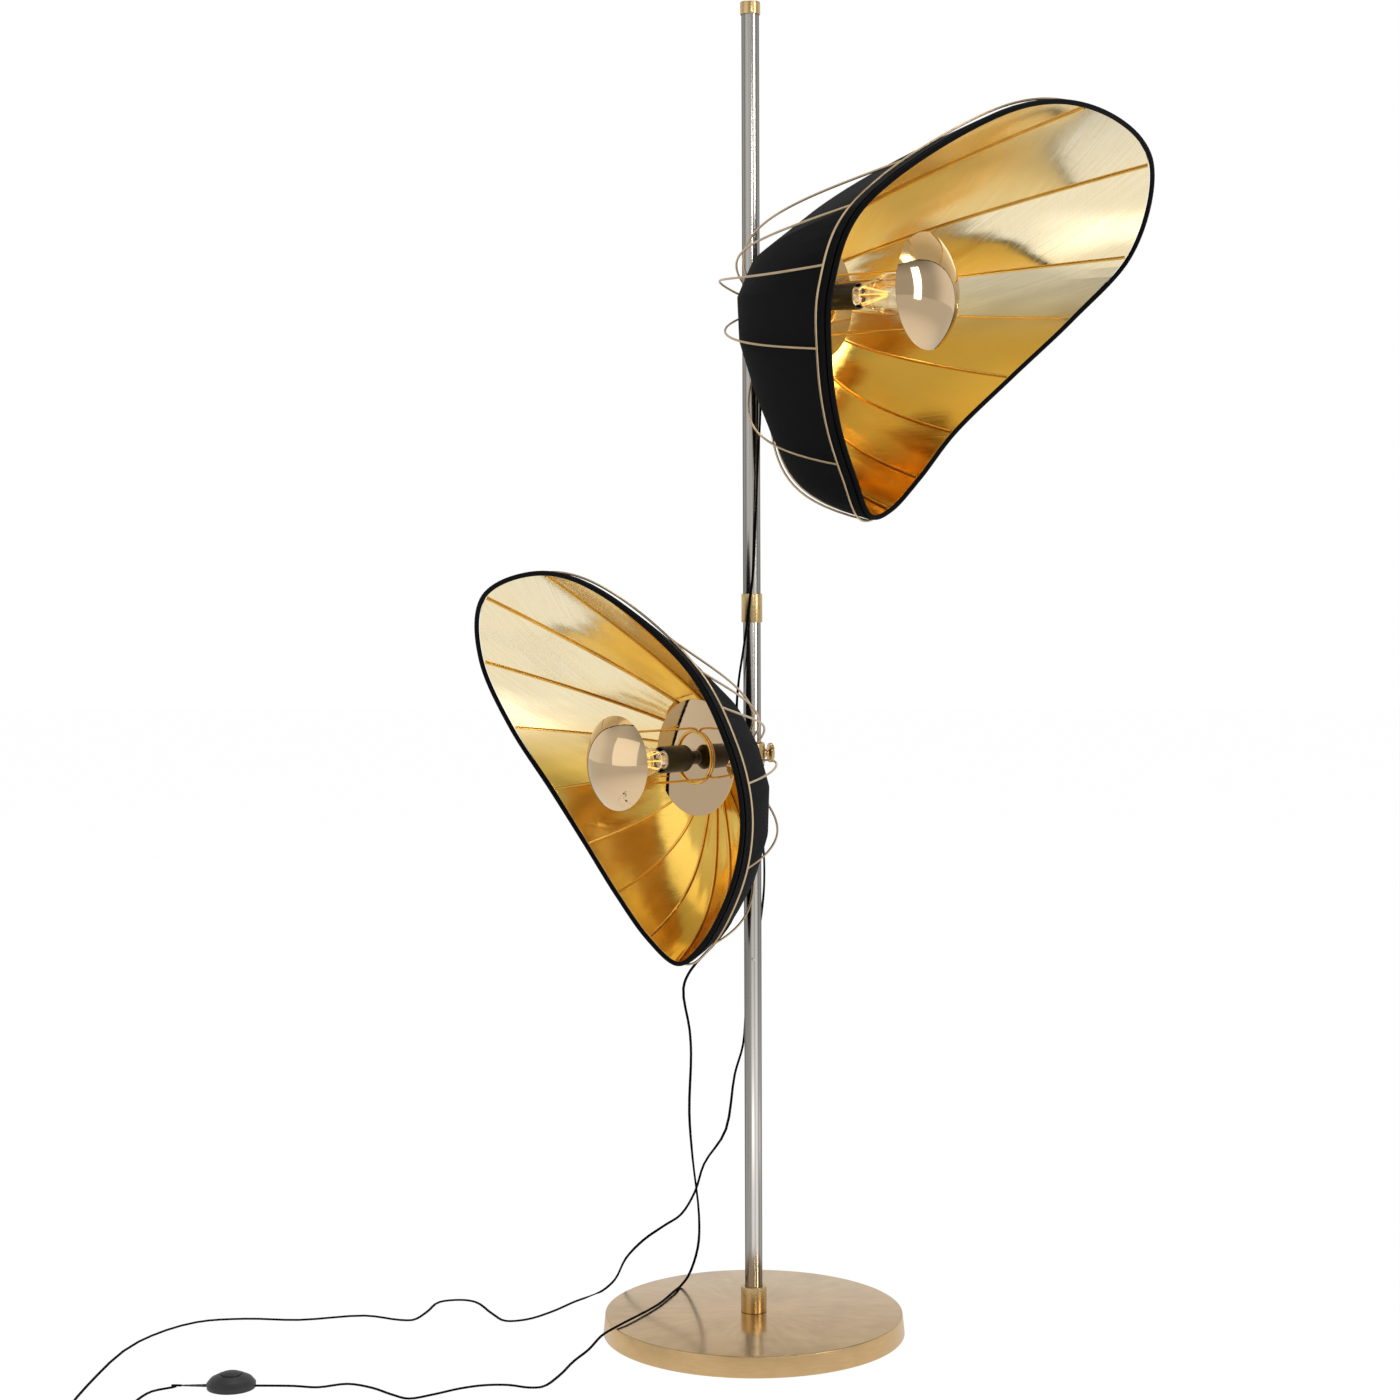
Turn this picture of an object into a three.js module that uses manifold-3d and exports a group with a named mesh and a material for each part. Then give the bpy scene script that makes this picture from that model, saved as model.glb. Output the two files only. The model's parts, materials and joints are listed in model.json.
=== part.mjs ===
// A free-standing floor lamp with two heads that slide and swivel on one pole.
// Each head is a brimmed bowl shade: black cloth outside, gold foil on ribs inside,
// a brass wire cage round its back, and a clear bulb behind a mirrored dome.
// Millimetres, +Z up, origin on the floor under the pole, the viewer stands at -Y.
import * as THREE from "three";
import { mergeVertices } from "three/addons/utils/BufferGeometryUtils.js";
import Module from "manifold-3d";

const wasm = await Module();
wasm.setup();

// Gaps and counts that all pieces share.
const seat = 0.3;
const overrun = 1;
const fullTurn = 2 * Math.PI;
const poleFacets = 16;
const smallFacets = 10;
const domeFacets = 16;
const plateFacets = 18;
const hubFacets = 12;

// Base: a brass cover over a cast weight on a felt pad, held by a bolt from below.
const base = {
  topRadius: 206,
  bottomRadius: 209,
  height: 29,
  wall: 1.5,
  edge: 2.5,
  lip: 0.8,
  padRadius: 202,
  padThickness: 2,
  facets: 28,
};
const bolt = { shankRadius: 5, shankLength: 52, headRadius: 11, headHeight: 7, recess: 12 };
const boss = { wall: 5.5, height: 35.5, chamfer: 1.5 };

// Pole: two equal tubes on a spigot, with a brass collar over the joint and a cap on top.
const pole = { radius: 12, wall: 1.5, jointHeight: 1005, topHeight: 1818 };
const spigot = { wall: 2, length: 120 };
const coupling = { wall: 2, length: 39, chamfer: 0.8 };
const cap = { wall: 1.3, skirt: 13, top: 3.5, chamfer: 1 };
const plug = { length: 40 };
const lockScrew = { height: 522, shankRadius: 1.6, headRadius: 2.6, headHeight: 1, clearance: 0.4 };

// Sliding collar, its bush and its thumb screw, the same on both heads.
const bush = { wall: 1.6, flange: 2.4, flangeRadius: 16.5 };
const collar = { wall: 2.8, height: 30, round: 2.5, bossRadius: 8.5, bossReach: 18.5 };
const screw = {
  shankRadius: 3,
  bossRadius: 7,
  knobRadius: 13.5,
  knobStart: 20.5,
  knobThickness: 8.5,
  hubRadius: 5,
  clearance: 0.5,
};
const guide = { radius: 21.5, earRadius: 6.5, neckRadius: 2.6, headRadius: 4.2, headHeight: 1.2 };
guide.length = 22;
guide.tipRadius = 2.7;
guide.bootRadius = 4.2;

// Inside of a head, sizes along its own axis.
const arm = { radius: 6.5, bore: 4.5, start: 19.2 };
const hub = { radius: 36, thickness: 3, bossRadius: 12, pilotGap: 0.9, frontRadius: 10 };
const backplate = { radius: 79, thickness: 2 };
const retainer = { radius: 37, thickness: 1.2 };
const holder = { radius: 18, neckRadius: 9, neck: 6, cone: 12, body: 42, wall: 2.2, floor: 3 };
const bulb = { radius: 29, neckRadius: 13, wall: 1, capRadius: 13, length: 83, stem: 36, stemRadius: 3 };
const dome = { depthShare: 0.41, wall: 1.2 };
const domeWire = { radius: 1.5, ringRadius: 35, bend: 10, facets: 4, touch: 1.2 };

// Shade: lining, ribs, cloth, binding and cage.
const shade = {
  bottom: 65,
  innerRadius: 31,
  flatRadius: 50,
  liningWall: 1.3,
  clothGap: 1.5,
  clothWall: 1.5,
};
const rib = { radius: 1.2, sides: 3 };
const binding = { radius: 3.2, facets: 5 };
const cage = {
  radius: 1.5,
  setBack: 13,
  clearance: 2.2,
  bulge: 30,
  sides: 3,
  steps: 5,
  ringWall: 4,
  ringLength: 5,
  plane: 38.5,
};
const stationsPerRib = 2;
const profileSteps = 5;

// The two heads. Angles are in degrees about the pole from +X; far is the side of the head
// away from the viewer. Rim shares run from the top over the far side to the bottom and back
// over the near side, one for each rib, as shares of the half width, half height and reach.
// Wire ribs say where the cage's wires run, counted in ribs, and bulge shares how far each swells.
const upper = {
  name: "upper",
  height: 1418,
  turn: -35.5,
  far: 1,
  screwTurn: 95,
  guideTurn: -90,
  plateStart: 111,
  domeStart: 280,
  domeRadius: 76,
  wireRadius: 48,
  wireTurn: 180,
  halfWidth: 334,
  halfHeight: 290,
  reach: 520,
  innerTopPower: 1.46,
  innerBottomPower: 4,
  innerDroop: 2,
  outerTopPower: 1.6,
  outerBottomPower: 7,
  outerDroop: 1.6,
  sideShares: [
    -0.045, 0.665, 1, 0.892, 0.665, 0.422, 0.234, 0.066, -0.09, -0.24, -0.422, -0.665, -0.892, -1,
    -0.545,
  ],
  upShares: [
    0.724, 0.583, 0.221, -0.062, -0.345, -0.61, -0.824, -0.972, -1, -0.828, -0.61, -0.345, -0.062,
    0.221, 0.628,
  ],
  reachShares: [
    1, 0.937, 0.765, 0.637, 0.533, 0.454, 0.423, 0.404, 0.408, 0.423, 0.454, 0.533, 0.637, 0.765,
    0.956,
  ],
  wireRibs: [1.6, 2, 2.7, 3.8, 5.7, 7.4],
  bulgeShares: [0.3, 0.1, 0.4, 0.1, 0.35, 0.4],
};
const lower = {
  name: "lower",
  height: 806,
  turn: -137.2,
  far: -1,
  screwTurn: 153.2,
  guideTurn: 150,
  plateStart: 102.5,
  domeStart: 242,
  domeRadius: 62.5,
  wireRadius: 41,
  wireTurn: 11,
  halfWidth: 220,
  halfHeight: 276,
  reach: 362,
  innerTopPower: 1.2,
  innerBottomPower: 4,
  innerDroop: 2,
  outerTopPower: 1.35,
  outerBottomPower: 8,
  outerDroop: 2.5,
  sideShares: [
    0, 0.591, 0.968, 1, 0.882, 0.705, 0.495, 0.245, 0, -0.245, -0.495, -0.705, -0.882, -1, -0.968,
    -0.591,
  ],
  upShares: [
    0.906, 0.793, 0.471, 0.134, -0.181, -0.453, -0.688, -0.895, -1, -0.895, -0.688, -0.453, -0.181,
    0.134, 0.471, 0.793,
  ],
  reachShares: [
    1, 0.992, 0.834, 0.682, 0.547, 0.467, 0.425, 0.398, 0.384, 0.398, 0.425, 0.467, 0.547, 0.682,
    0.834, 0.992,
  ],
  wireRibs: [1.6, 2, 2.5, 3.6, 5.1, 6.9],
  bulgeShares: [0, 0, 0, 0, 0.15, 0.5],
};
const heads = [upper, lower];
const hubFront = shade.bottom - shade.liningWall - shade.clothGap - shade.clothWall - 2 * seat;
const cageBack = cage.plane - cage.ringLength / 2;

// Leads: from each head a thin lead, a foot switch, a coil of the spare length and a plug.
// The runs are [x, y, z] points that the photograph gives, from the head's guide to the switch.
const lead = { diameter: 3.8, sides: 8, lift: 0.1, straight: 12 };
const floorRun = lead.diameter / 2 + lead.lift;
const baseRun = base.height + lead.diameter / 2 + 4 * lead.lift;
upper.lead = {
  fall: [
    [3, -21, 1358], [9.9, -19, 1334], [12.3, -16.5, 1299], [12.2, -15.4, 1268], [9.4, -15.6, 1215],
    [5.2, -16, 1122], [1, -16.9, 1045], [-3.1, -17.4, 1015], [-7, -16.2, 982], [-11.5, -13, 950],
    [-18.5, 0, 903], [-21, 11, 860], [-14, 19.5, 806], [-6, 28, 772], [5, 33, 735], [14.5, 31, 680],
    [16, 29.5, 622], [12, 29.5, 580], [1.6, 26, 519], [-8.8, 22, 457], [-14.1, 19, 398], [-25.6, 25, 356],
    [-38.3, 45, 274], [-70.3, 92, 213], [-84, 111, 168], [-104.2, 125, 132], [-129.2, 138, 112],
    [-159.2, 150, 88], [-185.9, 168, 56], [-203, 184, 20],
  ],
  floor: [
    [-222, 188], [-258, 134], [-289, 82], [-321, 46], [-349, 39], [-372, 74], [-402, 131], [-424, 141],
    [-453, 131], [-466, 81], [-481, 43], [-500, 43], [-552, 63], [-642, 42], [-719, 47], [-785, 30],
    [-845, -60], [-868, -250],
  ],
  switchAt: [-868, -440],
  switchTurn: -90,
  tail: [],
};
lower.lead = {
  fall: [
    [-17.5, 14, 700], [-14.5, 19.5, 630], [-26, 22, 578], [-48, 22, 545], [-86, 20, 503], [-96.5, 22, 477],
    [-88.5, 34, 417], [-86.8, 42, 381], [-90, 59, 295], [-86.1, 74, 227], [-77.7, 95, 138],
    [-80, 108, 88], [-94, 119, 44],
  ],
  base: [[-104, 116], [-112, 90], [-135, 18], [-187, -84]],
  edge: [[-206, -108, 26], [-222, -122, 12]],
  floor: [
    [-240, -138], [-256, -202], [-275, -248], [-292, -251], [-319, -241], [-350, -242], [-380, -255],
    [-412, -279], [-442, -296], [-466, -280], [-496, -253], [-530, -238], [-566, -252], [-598, -247],
  ],
  switchAt: [-680, -246],
  switchTurn: 180,
  tail: [[-752, -250], [-778, -270], [-790, -310], [-792, -345]],
  tailEnd: [-792, -380],
};
const footSwitch = {
  radius: 32,
  rim: 6,
  shoulderRadius: 27,
  shoulder: 12,
  crownRadius: 17,
  crown: 17,
  well: 8,
  buttonRadius: 13,
  buttonTop: 21,
  buttonCrown: 1.6,
  travel: 2.5,
  bootRadius: 3.4,
  bootLength: 34,
};
const coil = { loops: 2, steps: 24, sides: 6, meanRadius: 21, spare: 0.8 };
const mainsPlug = {
  length: 36,
  width: 26,
  noseWidth: 18,
  bootRadius: 2.1,
  bootLength: 34,
  pinRadius: 2,
  pinLength: 19,
  pinSpacing: 18.6,
};

const finishes = {
  brass: { color: 0xb08a4a, roughness: 0.35, metalness: 1 },
  steel: { color: 0xb9b4ab, roughness: 0.3, metalness: 1 },
  iron: { color: 0x3a3a3a, roughness: 0.8, metalness: 0.6 },
  felt: { color: 0x1c1c1c, roughness: 1, metalness: 0 },
  nylon: { color: 0x161616, roughness: 0.6, metalness: 0 },
  black: { color: 0x0d0d0d, roughness: 0.4, metalness: 0 },
  cloth: { color: 0x0b0c10, roughness: 0.95, metalness: 0 },
  foil: { color: 0xd9b65a, roughness: 0.25, metalness: 1 },
  gold: { color: 0xc99a3c, roughness: 0.3, metalness: 1 },
  mirror: { color: 0xc8b596, roughness: 0.05, metalness: 1 },
  glass: { color: 0xf4efe2, roughness: 0.05, metalness: 0 },
  lead: { color: 0x101010, roughness: 0.55, metalness: 0 },
};

const lamp = new THREE.Group();

function addPiece(name, finish, geometry) {
  const mesh = new THREE.Mesh(geometry, new THREE.MeshStandardMaterial(finishes[finish]));
  mesh.name = name;
  lamp.add(mesh);
  return mesh;
}

const degrees = (angle) => THREE.MathUtils.degToRad(angle);
const vector = (x, y, z) => new THREE.Vector3(x, y, z);

// Solids that are joined or cut.
function toSolid(geometry) {
  const bare = geometry.clone();
  bare.deleteAttribute("normal");
  bare.deleteAttribute("uv");
  const merged = mergeVertices(bare, 1e-4);
  const vertProperties = new Float32Array(merged.attributes.position.array);
  const triVerts = new Uint32Array(merged.index.array);
  return new wasm.Manifold(new wasm.Mesh({ numProp: 3, vertProperties, triVerts }));
}

function toGeometry(solid) {
  const mesh = solid.getMesh();
  const geometry = new THREE.BufferGeometry();
  geometry.setAttribute("position", new THREE.BufferAttribute(mesh.vertProperties.slice(), 3));
  geometry.setIndex(new THREE.BufferAttribute(mesh.triVerts.slice(), 1));
  return geometry;
}

const joined = (geometries) => toGeometry(geometries.map(toSolid).reduce((all, one) => all.add(one)));
function cut(geometry, tools) {
  const left = tools.map(toSolid).reduce((all, one) => all.subtract(one), toSolid(geometry));
  return toGeometry(left);
}

// A solid turned about the Z axis from a closed outline of [radius, height] points.
function turned(outline, facets) {
  const points = outline.map(([radius, height]) => new THREE.Vector2(radius, height));
  if (THREE.ShapeUtils.area(points) < 0) points.reverse();
  if (points.every((point) => point.x > 0)) points.push(points[0].clone());
  else while (points[0].x > 0 || points.at(-1).x > 0) points.push(points.shift());
  const geometry = new THREE.LatheGeometry(points, facets);
  geometry.rotateX(Math.PI / 2);
  return geometry;
}

// The same about a head's own X axis.
const turnedAlong = (outline, facets) => turned(outline, facets).rotateY(Math.PI / 2);

const ring = (inner, outer, low, high) => [[inner, low], [outer, low], [outer, high], [inner, high]];
const disc = (radius, low, high) => [[0, low], [radius, low], [radius, high], [0, high]];

// A skin over rows of points that all have the same count, closed on itself or capped.
function loft(rows, closed) {
  const count = rows[0].length;
  const positions = rows.flat().flatMap((point) => [point.x, point.y, point.z]);
  const index = [];
  const last = closed ? rows.length : rows.length - 1;
  for (let row = 0; row < last; row += 1) {
    const next = (row + 1) % rows.length;
    for (let i = 0; i < count; i += 1) {
      const j = (i + 1) % count;
      index.push(row * count + i, row * count + j, next * count + j);
      index.push(row * count + i, next * count + j, next * count + i);
    }
  }
  if (!closed) {
    const end = (rows.length - 1) * count;
    for (let i = 1; i < count - 1; i += 1) {
      index.push(0, i + 1, i);
      index.push(end, end + i, end + i + 1);
    }
  }
  const geometry = new THREE.BufferGeometry();
  geometry.setAttribute("position", new THREE.Float32BufferAttribute(positions, 3));
  geometry.setIndex(index);
  return facingOut(geometry);
}

// Turns the faces round if the enclosed volume comes out negative.
function facingOut(geometry) {
  const { array } = geometry.attributes.position;
  const index = geometry.index.array;
  const corner = (i) => vector(array[3 * i], array[3 * i + 1], array[3 * i + 2]);
  let volume = 0;
  for (let i = 0; i < index.length; i += 3) {
    volume += corner(index[i]).dot(corner(index[i + 1]).cross(corner(index[i + 2])));
  }
  if (volume < 0) {
    for (let i = 0; i < index.length; i += 3) [index[i], index[i + 1]] = [index[i + 1], index[i]];
  }
  return geometry;
}

// A wire through points, its section kept square to the run by two fixed guides.
function wire(points, radius, sides, closed = false) {
  const count = points.length;
  let side = null;
  const rows = points.map((point, i) => {
    const before = closed ? points[(i + count - 1) % count] : points[Math.max(i - 1, 0)];
    const after = closed ? points[(i + 1) % count] : points[Math.min(i + 1, count - 1)];
    const along = after.clone().sub(before).normalize();
    if (side === null) {
      const guideAxis = Math.abs(along.z) < Math.SQRT1_2 ? vector(0, 0, 1) : vector(1, 0, 0);
      side = guideAxis.cross(along).normalize();
    } else {
      side = side.clone().addScaledVector(along, -side.dot(along)).normalize();
    }
    const other = along.clone().cross(side);
    return Array.from({ length: sides }, (_, j) => {
      const angle = (fullTurn * j) / sides;
      const corner = point.clone().addScaledVector(side, radius * Math.cos(angle));
      return corner.addScaledVector(other, radius * Math.sin(angle));
    });
  });
  return loft(rows, closed);
}

// A lead through points, as an extrusion of its section with one step from point to point.
function extrudedLead(points) {
  const section = new THREE.Shape();
  section.absarc(0, 0, lead.diameter / 2, 0, fullTurn);
  const curve = new THREE.CatmullRomCurve3(points);
  curve.getPointAt = (share) => curve.getPoint(share);
  curve.getTangentAt = (share) => curve.getTangent(share);
  const steps = points.length - 1;
  const options = { extrudePath: curve, steps, curveSegments: lead.sides / 2, bevelEnabled: false };
  return new THREE.ExtrudeGeometry(section, options);
}

// Base and pole.
function buildBase() {
  const { topRadius, bottomRadius, height, wall, edge, lip, padThickness, facets } = base;
  const roof = height - wall;
  const hole = bolt.shankRadius + seat;
  addPiece("base_cover", "brass", turned([
    [bottomRadius, lip],
    [topRadius, height - edge],
    [topRadius - edge, height],
    [hole, height],
    [hole, roof],
    [topRadius - edge, roof],
    [topRadius - wall, height - edge],
    [bottomRadius - wall, lip],
  ], facets));
  const weightRadius = topRadius - wall - edge;
  const weightTop = roof - seat;
  const weightBottom = padThickness + seat;
  addPiece("base_weight", "iron", turned([
    [bolt.headRadius + wall, weightBottom],
    [weightRadius, weightBottom],
    [weightRadius, weightTop],
    [hole, weightTop],
    [hole, weightBottom + bolt.recess],
    [bolt.headRadius + wall, weightBottom + bolt.recess],
  ], facets));
  addPiece("base_pad", "felt", turned(disc(base.padRadius, 0, padThickness), facets));
  const headTop = weightBottom + bolt.recess - seat;
  const headBottom = headTop - bolt.headHeight;
  addPiece("base_bolt", "steel", turned([
    [0, headBottom],
    [bolt.headRadius, headBottom],
    [bolt.headRadius, headTop],
    [bolt.shankRadius, headTop],
    [bolt.shankRadius, headTop + bolt.shankLength],
    [0, headTop + bolt.shankLength],
  ], smallFacets));
  const bossInner = pole.radius + seat;
  const bossOuter = bossInner + boss.wall;
  const bossLow = height + seat;
  const bossTop = bossLow + boss.height;
  addPiece("base_boss", "brass", turned([
    [bossInner, bossLow],
    [bossOuter, bossLow],
    [bossOuter, bossTop - boss.chamfer],
    [bossOuter - boss.chamfer, bossTop],
    [bossInner, bossTop],
  ], poleFacets));
  const plugRadius = pole.radius - pole.wall - seat;
  const plugOutline = ring(hole, plugRadius, bossLow, bossLow + plug.length);
  addPiece("pole_plug", "steel", turned(plugOutline, smallFacets));
}

function buildPole() {
  const { radius, wall, jointHeight, topHeight } = pole;
  const foot = base.height + seat;
  const bore = radius - wall;
  const lowerTube = turned(ring(bore, radius, foot, jointHeight), poleFacets);
  const holeRadius = lockScrew.shankRadius + lockScrew.clearance;
  const drill = new THREE.CylinderGeometry(holeRadius, holeRadius, wall + 2 * overrun, smallFacets);
  drill.translate(0, -(bore + wall / 2), lockScrew.height);
  addPiece("lower_pole", "steel", cut(lowerTube, [drill]));
  addPiece("upper_pole", "steel", turned(ring(bore, radius, jointHeight + seat, topHeight), poleFacets));
  const spigotRadius = bore - seat;
  const spigotLow = jointHeight - spigot.length / 2;
  const spigotHigh = spigotLow + spigot.length;
  const spigotOutline = ring(spigotRadius - spigot.wall, spigotRadius, spigotLow, spigotHigh);
  addPiece("pole_spigot", "steel", turned(spigotOutline, smallFacets));
  const inner = radius + seat;
  const outer = inner + coupling.wall;
  const low = jointHeight - coupling.length / 2;
  const high = low + coupling.length;
  addPiece("pole_coupling", "brass", turned([
    [inner, low],
    [outer - coupling.chamfer, low],
    [outer, low + coupling.chamfer],
    [outer, high - coupling.chamfer],
    [outer - coupling.chamfer, high],
    [inner, high],
  ], poleFacets));
  const capOuter = inner + cap.wall;
  const capUnder = topHeight + seat;
  const capTop = capUnder + cap.top;
  addPiece("top_cap", "brass", turned([
    [inner, topHeight - cap.skirt],
    [capOuter, topHeight - cap.skirt],
    [capOuter, capTop - cap.chamfer],
    [capOuter - cap.chamfer, capTop],
    [0, capTop],
    [0, capUnder],
    [inner, capUnder],
  ], poleFacets));
  const { shankRadius, headRadius, headHeight, height } = lockScrew;
  const lock = turned([
    [0, bore],
    [shankRadius, bore],
    [shankRadius, radius + seat],
    [headRadius, radius + seat],
    [headRadius, radius + seat + headHeight],
    [0, radius + seat + headHeight],
  ], smallFacets);
  lock.rotateX(Math.PI / 2);
  lock.translate(0, 0, height);
  addPiece("pole_screw", "steel", lock);
}

// The rim of a head's shade, and the bowl that hangs from it, in the head's own frame:
// X forward out of the shade, Y to its left, Z up.
function rimCurve(head) {
  const corners = head.sideShares.map((side, i) => vector(
    head.reach * head.reachShares[i],
    head.far * head.halfWidth * side,
    head.halfHeight * head.upShares[i],
  ));
  return new THREE.CatmullRomCurve3(corners, true);
}

function bowl(head, topPower, bottomPower, droop) {
  const rim = rimCurve(head);
  const { bottom, innerRadius, flatRadius } = shade;
  // Along is -1 at the hole, 0 where the flat bottom ends and 1 at the rim.
  const place = (turn, along) => {
    const end = rim.getPoint(turn - Math.floor(turn));
    const fall = ((1 - Math.cos(fullTurn * turn)) / 2) ** droop;
    const power = topPower + (bottomPower - topPower) * fall;
    const length = Math.hypot(end.y, end.z);
    const stretch = along < 0 ? flatRadius - innerRadius : length - flatRadius;
    const share = (flatRadius + stretch * along) / length;
    return vector(bottom + (end.x - bottom) * Math.max(along, 0) ** power, end.y * share, end.z * share);
  };
  const step = 0.01;
  const across = (turn, along) => place(turn + step, along).sub(place(turn - step, along));
  const run = (turn, along) => place(turn, along + step).sub(place(turn, along - step));
  const back = (turn, along) => {
    const normal = across(turn, along).cross(run(turn, along)).normalize();
    return normal.x > 0 ? normal.negate() : normal;
  };
  const offset = (turn, along, depth) => place(turn, along).addScaledVector(back(turn, along), depth);
  // The share of the run at which a shell stops, a stated distance short of the rim, measured
  // square to the rim.
  const stopShort = (turn, distance) => {
    const alongRim = across(turn, 1).normalize();
    const square = run(turn, 1 - step).cross(alongRim).length() / (2 * step);
    return 1 - distance / square;
  };
  return { offset, stopShort };
}

const evenShares = (count, end) => Array.from({ length: count + 1 }, (_, i) => (end * i) / count);
const profileShares = (end) => [-1, ...evenShares(profileSteps, end)];

function shell(head, surface, front, wall) {
  const stations = stationsPerRib * head.sideShares.length;
  const rows = [];
  for (let station = 0; station < stations; station += 1) {
    const turn = station / stations;
    const end = surface.stopShort(turn, binding.radius + 2 * seat);
    const shares = profileShares(end);
    const face = shares.map((share) => surface.offset(turn, share, front));
    const rear = shares.map((share) => surface.offset(turn, share, front + wall));
    rows.push([...face, ...rear.reverse()]);
  }
  return loft(rows, true);
}

// Places a head's geometry on the pole.
function onPole(head, geometry) {
  return geometry.rotateZ(degrees(head.turn)).translate(0, 0, head.height);
}

function addHeadPiece(head, name, finish, geometry) {
  addPiece(`${head.name}_${name}`, finish, onPole(head, geometry));
}

function buildShade(head) {
  const ribCount = head.sideShares.length;
  const stations = stationsPerRib * ribCount;
  const turns = evenShares(stations, 1).slice(0, stations);
  const inner = bowl(head, head.innerTopPower, head.innerBottomPower, head.innerDroop);
  const outer = bowl(head, head.outerTopPower, head.outerBottomPower, head.outerDroop);
  const clothFront = shade.liningWall + shade.clothGap;
  const clothBack = clothFront + shade.clothWall;
  addHeadPiece(head, "lining", "foil", shell(head, inner, 0, shade.liningWall));
  addHeadPiece(head, "cloth", "cloth", shell(head, outer, clothFront, shade.clothWall));

  const ribOffset = -(rib.radius + seat);
  const ribs = Array.from({ length: ribCount }, (_, i) => {
    const turn = i / ribCount;
    const end = inner.stopShort(turn, binding.radius + rib.radius + 2 * seat);
    const points = profileShares(end).map((share) => inner.offset(turn, share, ribOffset));
    return wire(points, rib.radius, rib.sides);
  });
  ribs.push(wire(turns.map((turn) => inner.offset(turn, -1, ribOffset)), rib.radius, rib.sides, true));
  addHeadPiece(head, "ribs", "gold", joined(ribs));

  const rim = rimCurve(head);
  const edge = turns.map((turn) => rim.getPoint(turn));
  addHeadPiece(head, "binding", "cloth", wire(edge, binding.radius, binding.facets, true));

  // The cage: a hoop outside the cloth, and wires that swell behind it to a ring on the hub.
  const hoopDepth = clothBack + cage.clearance + cage.radius;
  const hoopShare = (turn) => outer.stopShort(turn, cage.setBack);
  const hoopPoint = (turn) => outer.offset(turn, hoopShare(turn), hoopDepth);
  const pieces = [wire(turns.map(hoopPoint), cage.radius, cage.sides, true)];
  const ringInner = hub.bossRadius + seat;
  const ringOuter = ringInner + cage.ringWall;
  pieces.push(turnedAlong(ring(ringInner, ringOuter, cageBack, cageBack + cage.ringLength), hubFacets));
  const ringHold = (ringInner + ringOuter) / 2;
  const hubSwell = shade.bottom - hoopDepth - cage.plane;
  head.wireRibs.forEach((number, i) => {
    const bulge = cage.bulge * head.bulgeShares[i];
    for (const turn of [number / ribCount, 1 - number / ribCount]) {
      const end = hoopShare(turn);
      const points = evenShares(cage.steps, 1).map((share) => {
        const towardsHub = hubSwell * THREE.MathUtils.smoothstep(share, 0, 1);
        const swell = towardsHub + bulge * Math.sin(Math.PI * share);
        return outer.offset(turn, end * (1 - share), hoopDepth + swell);
      });
      const last = points.at(-1);
      const spread = ringHold / Math.hypot(last.y, last.z);
      points.push(vector(cage.plane, last.y * spread, last.z * spread));
      pieces.push(wire(points, cage.radius, cage.sides));
    }
  });
  addHeadPiece(head, "cage", "brass", joined(pieces));
}

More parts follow.
